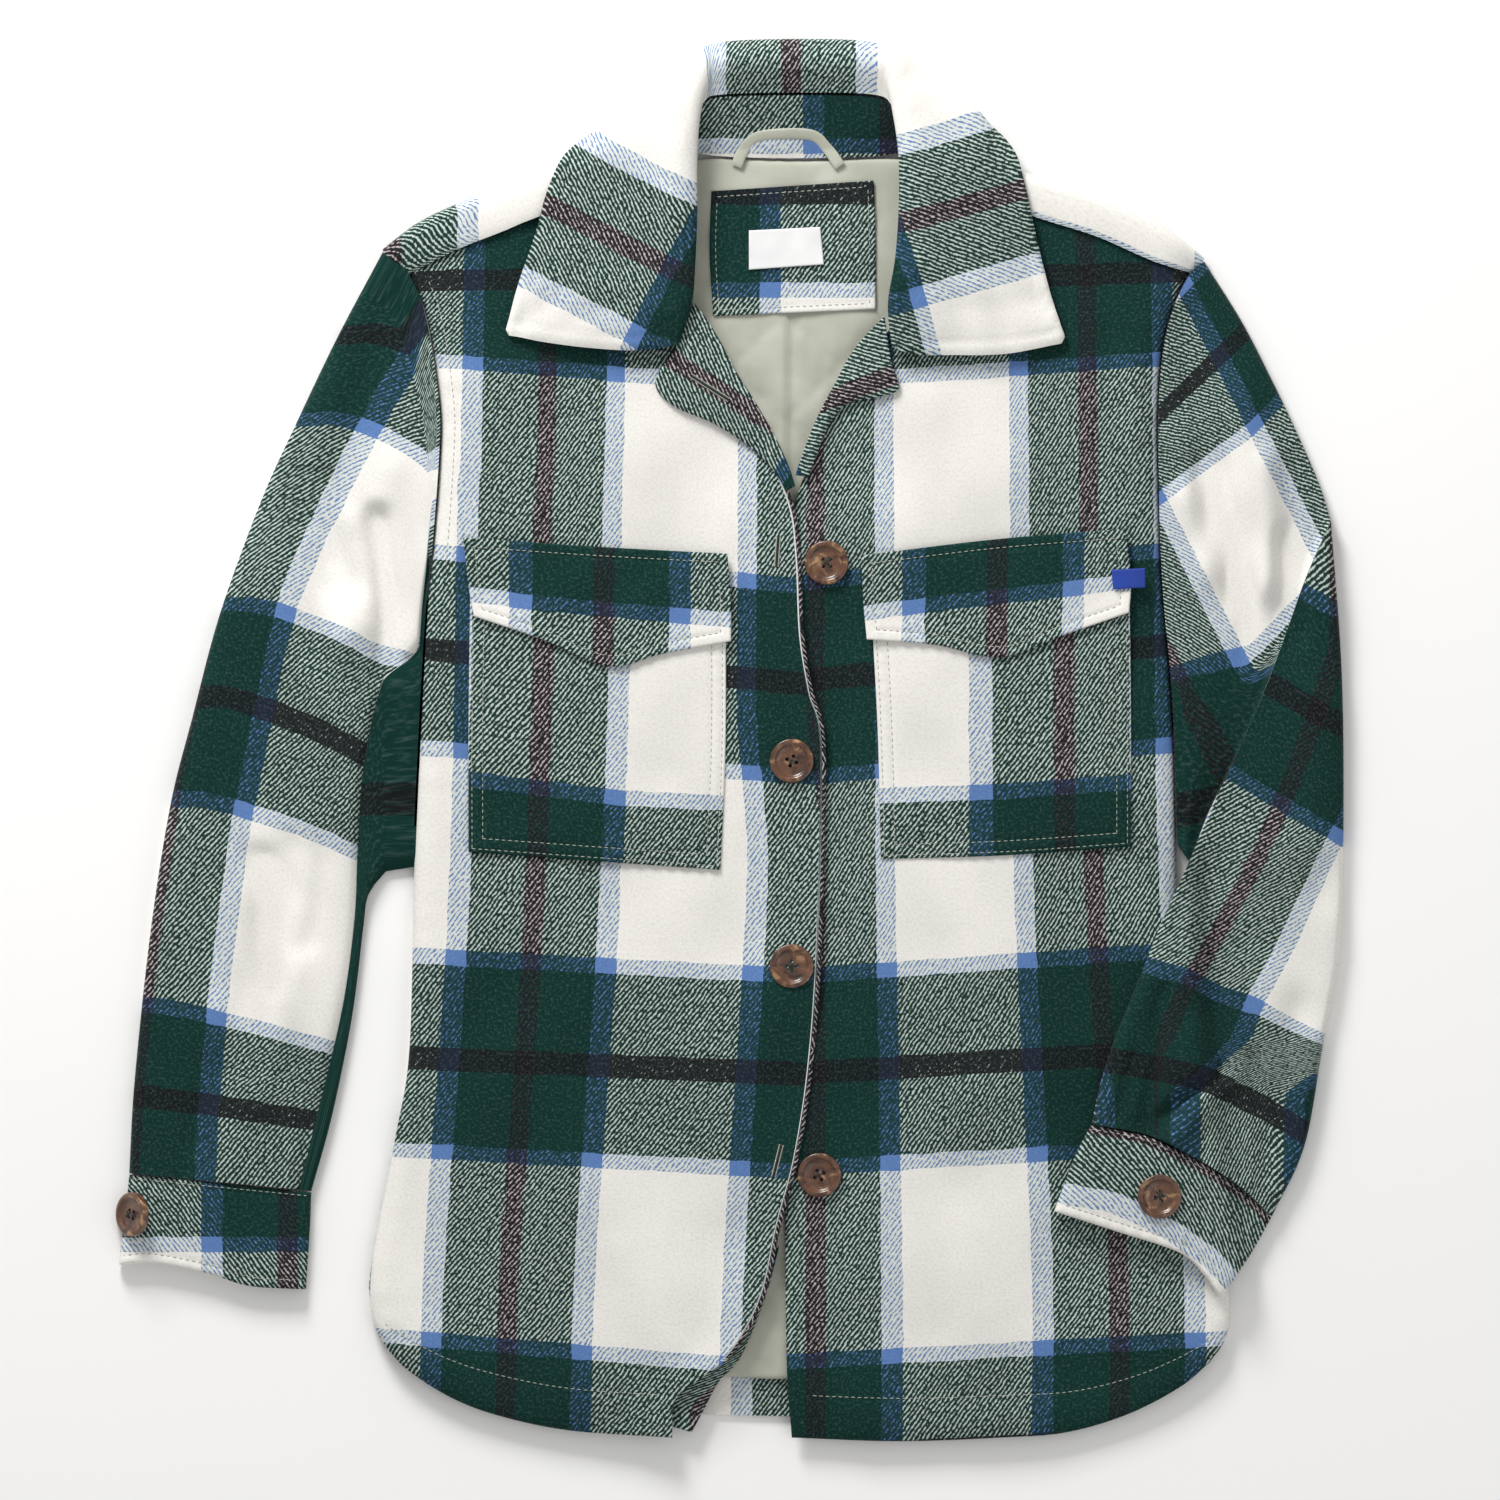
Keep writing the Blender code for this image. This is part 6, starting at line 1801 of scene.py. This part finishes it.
@dataclass
class Neck:
    """What lies inside the back neck: the patch, its bare label and the hanging loop."""

    finishes: Finishes
    sewing: Sewing
    row: float = 3.4

    def build(self) -> None:
        """Builds the patch, the label and the loop."""
        rest = LINING_TOP + QUILT_PUFF + LAYER_GAP
        plan = rail_patch(NECK_PATCH, shares_of(92, 2.2), shares_of(72, 2.2))
        x, y = plan[..., 0], plan[..., 1]
        edge = near_edge(plan, "lrd")
        relief = groove(edge, 4, 0.35, 0.9) + 0.35 * rise(edge, 20) + waves(x, y, 51, 30, 0.12)
        uv = np.stack([x + 20.7, y - 307.4], -1)
        outer = laid("neck_patch", plan, rest + TRIM_WALL + relief, TRIM_WALL, uv, self.finishes)
        self.sewing.rows("neck_patch", outer, [(side, *[self.row] * 3) for side in "ldru"])
        plan = rail_patch(NECK_LABEL, shares_of(41, 1.6, (0.3, 0.8)), shares_of(22, 1.6, (0.3, 0.8)))
        x, y = plan[..., 0], plan[..., 1]
        lie = rest + 2 * TRIM_WALL + GAP + 0.35 + waves(x, y, 52, 26, 0.1)
        laid("neck_label", plan, lie, TRIM_WALL * 0.8, plan, self.finishes, "label_cloth")
        centre = by_length(HANG_LOOP, np.linspace(0, 1, 60))
        ahead = np.gradient(centre, axis=0)
        across = np.stack([-ahead[:, 1], ahead[:, 0]], axis=1)
        across = across / np.linalg.norm(across, axis=1, keepdims=True) * HANG_LOOP_WIDTH / 2
        share = np.array([-1, -0.9, -0.7, -0.35, 0, 0.35, 0.7, 0.9, 1])
        plan = centre[:, None] + across[:, None] * share[None, :, None]
        lie = np.maximum(rest, 5.4 + (plan[..., 1] - 328) * 0.3) + TRIM_WALL
        lie = lie + 0.35 * (1 - np.abs(share[None]) ** 3)
        laid("hanging_loop", plan, lie, TRIM_WALL, plan, self.finishes, "lining_cloth")


@dataclass
class Buttons:
    """Horn-like four-hole buttons with a raised rim, each sewn on with crossed thread."""

    finishes: Finishes
    radius: float = BUTTON_RADIUS
    height: float = BUTTON_HEIGHT
    strand: float = 0.26

    def button(self) -> bpy.types.Mesh:
        """Models one button, its underside at the origin.

        Returns:
            Its mesh, in metres.
        """
        bpy.ops.object.select_all(action="DESELECT")
        bpy.ops.mesh.primitive_cylinder_add(
            vertices=64, radius=self.radius * MM, depth=self.height * MM,
            location=(0, 0, self.height / 2 * MM),
        )
        made = bpy.context.object
        bpy.ops.object.mode_set(mode="EDIT")
        bpy.ops.mesh.select_mode(type="FACE")
        rim_and_dish = ((1.6, 0.35), (0.9, 0.0), (1.1, -1.1), (0.8, -0.5), (2.6, -0.1))
        for up, steps in ((1, rim_and_dish), (-1, ((2.4, 0.0),))):
            bpy.ops.mesh.select_all(action="DESELECT")
            mesh = bmesh.from_edit_mesh(made.data)
            for face in mesh.faces:
                face.select_set(face.normal.z * up > 0.9)
            bmesh.update_edit_mesh(made.data)
            for inset, move in steps:
                bpy.ops.mesh.inset(thickness=inset * MM)
                bpy.ops.transform.translate(value=(0, 0, move * MM))
        bpy.ops.mesh.select_all(action="DESELECT")
        bpy.ops.object.mode_set(mode="OBJECT")
        bevel = made.modifiers.new("soft_edges", "BEVEL")
        bevel.width = 0.55 * MM
        bevel.segments = 3
        bevel.angle_limit = math.radians(30)
        bpy.ops.object.modifier_apply(modifier="soft_edges")
        for number in range(4):
            turn = math.radians(45 + 90 * number)
            bpy.ops.mesh.primitive_cylinder_add(
                vertices=20, radius=HOLE_RADIUS * MM, depth=14 * MM,
                location=(HOLE_OFFSET * MM * math.cos(turn), HOLE_OFFSET * MM * math.sin(turn), 0),
            )
            cutter = bpy.context.object
            bpy.ops.object.select_all(action="DESELECT")
            bpy.context.view_layer.objects.active = made
            cut = made.modifiers.new("hole", "BOOLEAN")
            cut.operation = "DIFFERENCE"
            cut.object = cutter
            bpy.ops.object.modifier_apply(modifier="hole")
            bpy.data.objects.remove(cutter)
        shape = made.data
        bpy.data.objects.remove(made)
        shape.shade_smooth()
        shape.set_sharp_from_angle(angle=math.radians(38))
        return shape

    def thread(self) -> bpy.types.Mesh:
        """Models the crossed threads over a button's holes, with the button's own origin."""
        bpy.ops.object.select_all(action="DESELECT")
        made = []
        for turn in (45, 135):
            for side in (-0.35, 0.35):
                bpy.ops.mesh.primitive_cylinder_add(
                    vertices=10, radius=self.strand * MM, depth=1.75 * HOLE_OFFSET * MM,
                    location=(0, 0, (self.height - 1.15) * MM), rotation=(0, math.pi / 2, 0),
                )
                strand = bpy.context.object
                angle = math.radians(turn)
                strand.data.transform(
                    Matrix.Translation((-side * MM * math.sin(angle), side * MM * math.cos(angle), 0))
                    @ Matrix.Rotation(angle, 4, "Z") @ strand.matrix_basis
                )
                strand.matrix_basis = Matrix.Identity(4)
                made.append(strand)
        bpy.ops.object.select_all(action="DESELECT")
        for strand in made:
            strand.select_set(True)
        bpy.context.view_layer.objects.active = made[0]
        bpy.ops.object.join()
        shape = made[0].data
        bpy.data.objects.remove(made[0])
        shape.shade_smooth()
        return shape

    def place(self, name: str, shape: bpy.types.Mesh, strands: bpy.types.Mesh, where: Matrix) -> None:
        """Puts a button and its thread at their place.

        Args:
            name: The button's node.
            shape: The button's mesh.
            strands: Its thread's mesh.
            where: The button's place and tilt.
        """
        shift = Matrix.Translation(Vector((-MIDDLE[0], -MIDDLE[1], 0)) * MM)
        turned = Matrix.Rotation(math.radians(17 * len(name) + 23 * ord(name[-1])), 4, "Z")
        for part, source, finish in (
            ("resin", shape, "button_resin"), ("thread", strands, "dark_thread"),
        ):
            data = source.copy()
            data.transform(shift @ where @ turned)
            data.materials.clear()
            piece = put(f"{name}_{part}", data, self.finishes[finish])
            if part == "resin":
                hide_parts(name)

    def tilted(self, tilt: float) -> Matrix:
        """A turn about Y, in degrees."""
        return Euler((0, math.radians(tilt), 0)).to_matrix().to_4x4()

    def build(self) -> None:
        """Builds every button."""
        models = self.button(), self.thread()
        cloth = {
            "right_front": right_top,
            "left_front": left_top,
            "left_cuff": lambda x, y: forearm_support(x, y) + CUFF_HEIGHT,
        }
        for name, (x, y, under, tilt) in BUTTONS.items():
            height = float(cloth[under](np.array([float(x)]), np.array([float(y)]))[0])
            lift = 0.35 + self.radius * 0.78 * abs(math.sin(math.radians(tilt)))
            where = Matrix.Translation(Vector((x, y, height + lift)) * MM)
            self.place(name, *models, where @ self.tilted(tilt))
        where = Matrix.Translation(Vector(CUFF_BUTTON) * MM)
        self.place("button_cuff_right", *models, where @ self.tilted(CUFF_BUTTON_TILT))
        LOG.info("buttons: %d", len(BUTTONS) + 1)


@dataclass
class Studio:
    """The pale floor, the soft lights and the camera over the jacket."""

    floor_colour: str = "#F3F2F0"
    floor_light: str = "#F6F5F3"
    view_width: float = 0.84
    centre: tuple[float, float] = (0.01197, -0.00451)

    def floor(self) -> None:
        """The plain floor."""
        bpy.ops.object.select_all(action="DESELECT")
        bpy.ops.mesh.primitive_plane_add(size=12, location=(0, 0, -0.0004))
        piece = bpy.context.object
        piece.name = "floor"
        made, tree, shader = new_material("floor_paper")
        grain = add_node(tree, "TexNoise", {}, {"Scale": 8.0, "Detail": 2.0}).outputs["Fac"]
        colour = blend(tree, grain, linear(self.floor_colour), linear(self.floor_light))
        dress(tree, shader, colour, {"Roughness": 0.9})
        piece.data.materials.append(made)

    def lights(self) -> None:
        """A large soft light from the upper left, a weak one opposite, and an even sky."""
        for name, place, size, power in (
            ("key", (-0.8, 2.0, 1.15), 0.8, 64), ("fill", (1.4, -0.9, 1.9), 1.8, 7),
        ):
            data = bpy.data.lights.new(name, "AREA")
            data.size = size
            data.energy = power
            lamp = bpy.data.objects.new(name, data)
            lamp.location = place
            lamp.rotation_euler = (-Vector(place)).to_track_quat("-Z", "Y").to_euler()
            bpy.context.scene.collection.objects.link(lamp)
        world = bpy.data.worlds.new("studio")
        world.use_nodes = True
        background = world.node_tree.nodes["Background"]
        background.inputs["Color"].default_value = (1, 1, 1, 1)
        background.inputs["Strength"].default_value = 0.54
        bpy.context.scene.world = world
        bpy.context.scene.view_settings.view_transform = "Standard"

    def camera(self) -> None:
        """The camera, straight over the jacket."""
        data = bpy.data.cameras.new("camera")
        data.type = "ORTHO"
        data.ortho_scale = self.view_width
        made = bpy.data.objects.new("camera", data)
        made.location = (*self.centre, 2.5)
        bpy.context.scene.collection.objects.link(made)
        bpy.context.scene.camera = made

    def build(self) -> None:
        """Builds the floor, the lights and the camera."""
        self.floor()
        self.lights()
        self.camera()


def main() -> None:
    """Builds every sub-assembly."""
    logging.basicConfig(level=logging.INFO)
    finishes = make_finishes()
    sewing = Sewing(finishes)
    for part in (
        Body(finishes, sewing), Tubes(finishes, sewing), Collar(finishes, sewing),
        Pockets(finishes, sewing), Neck(finishes, sewing), Buttons(finishes), Studio(),
    ):
        part.build()


if __name__ == "__main__":
    main()
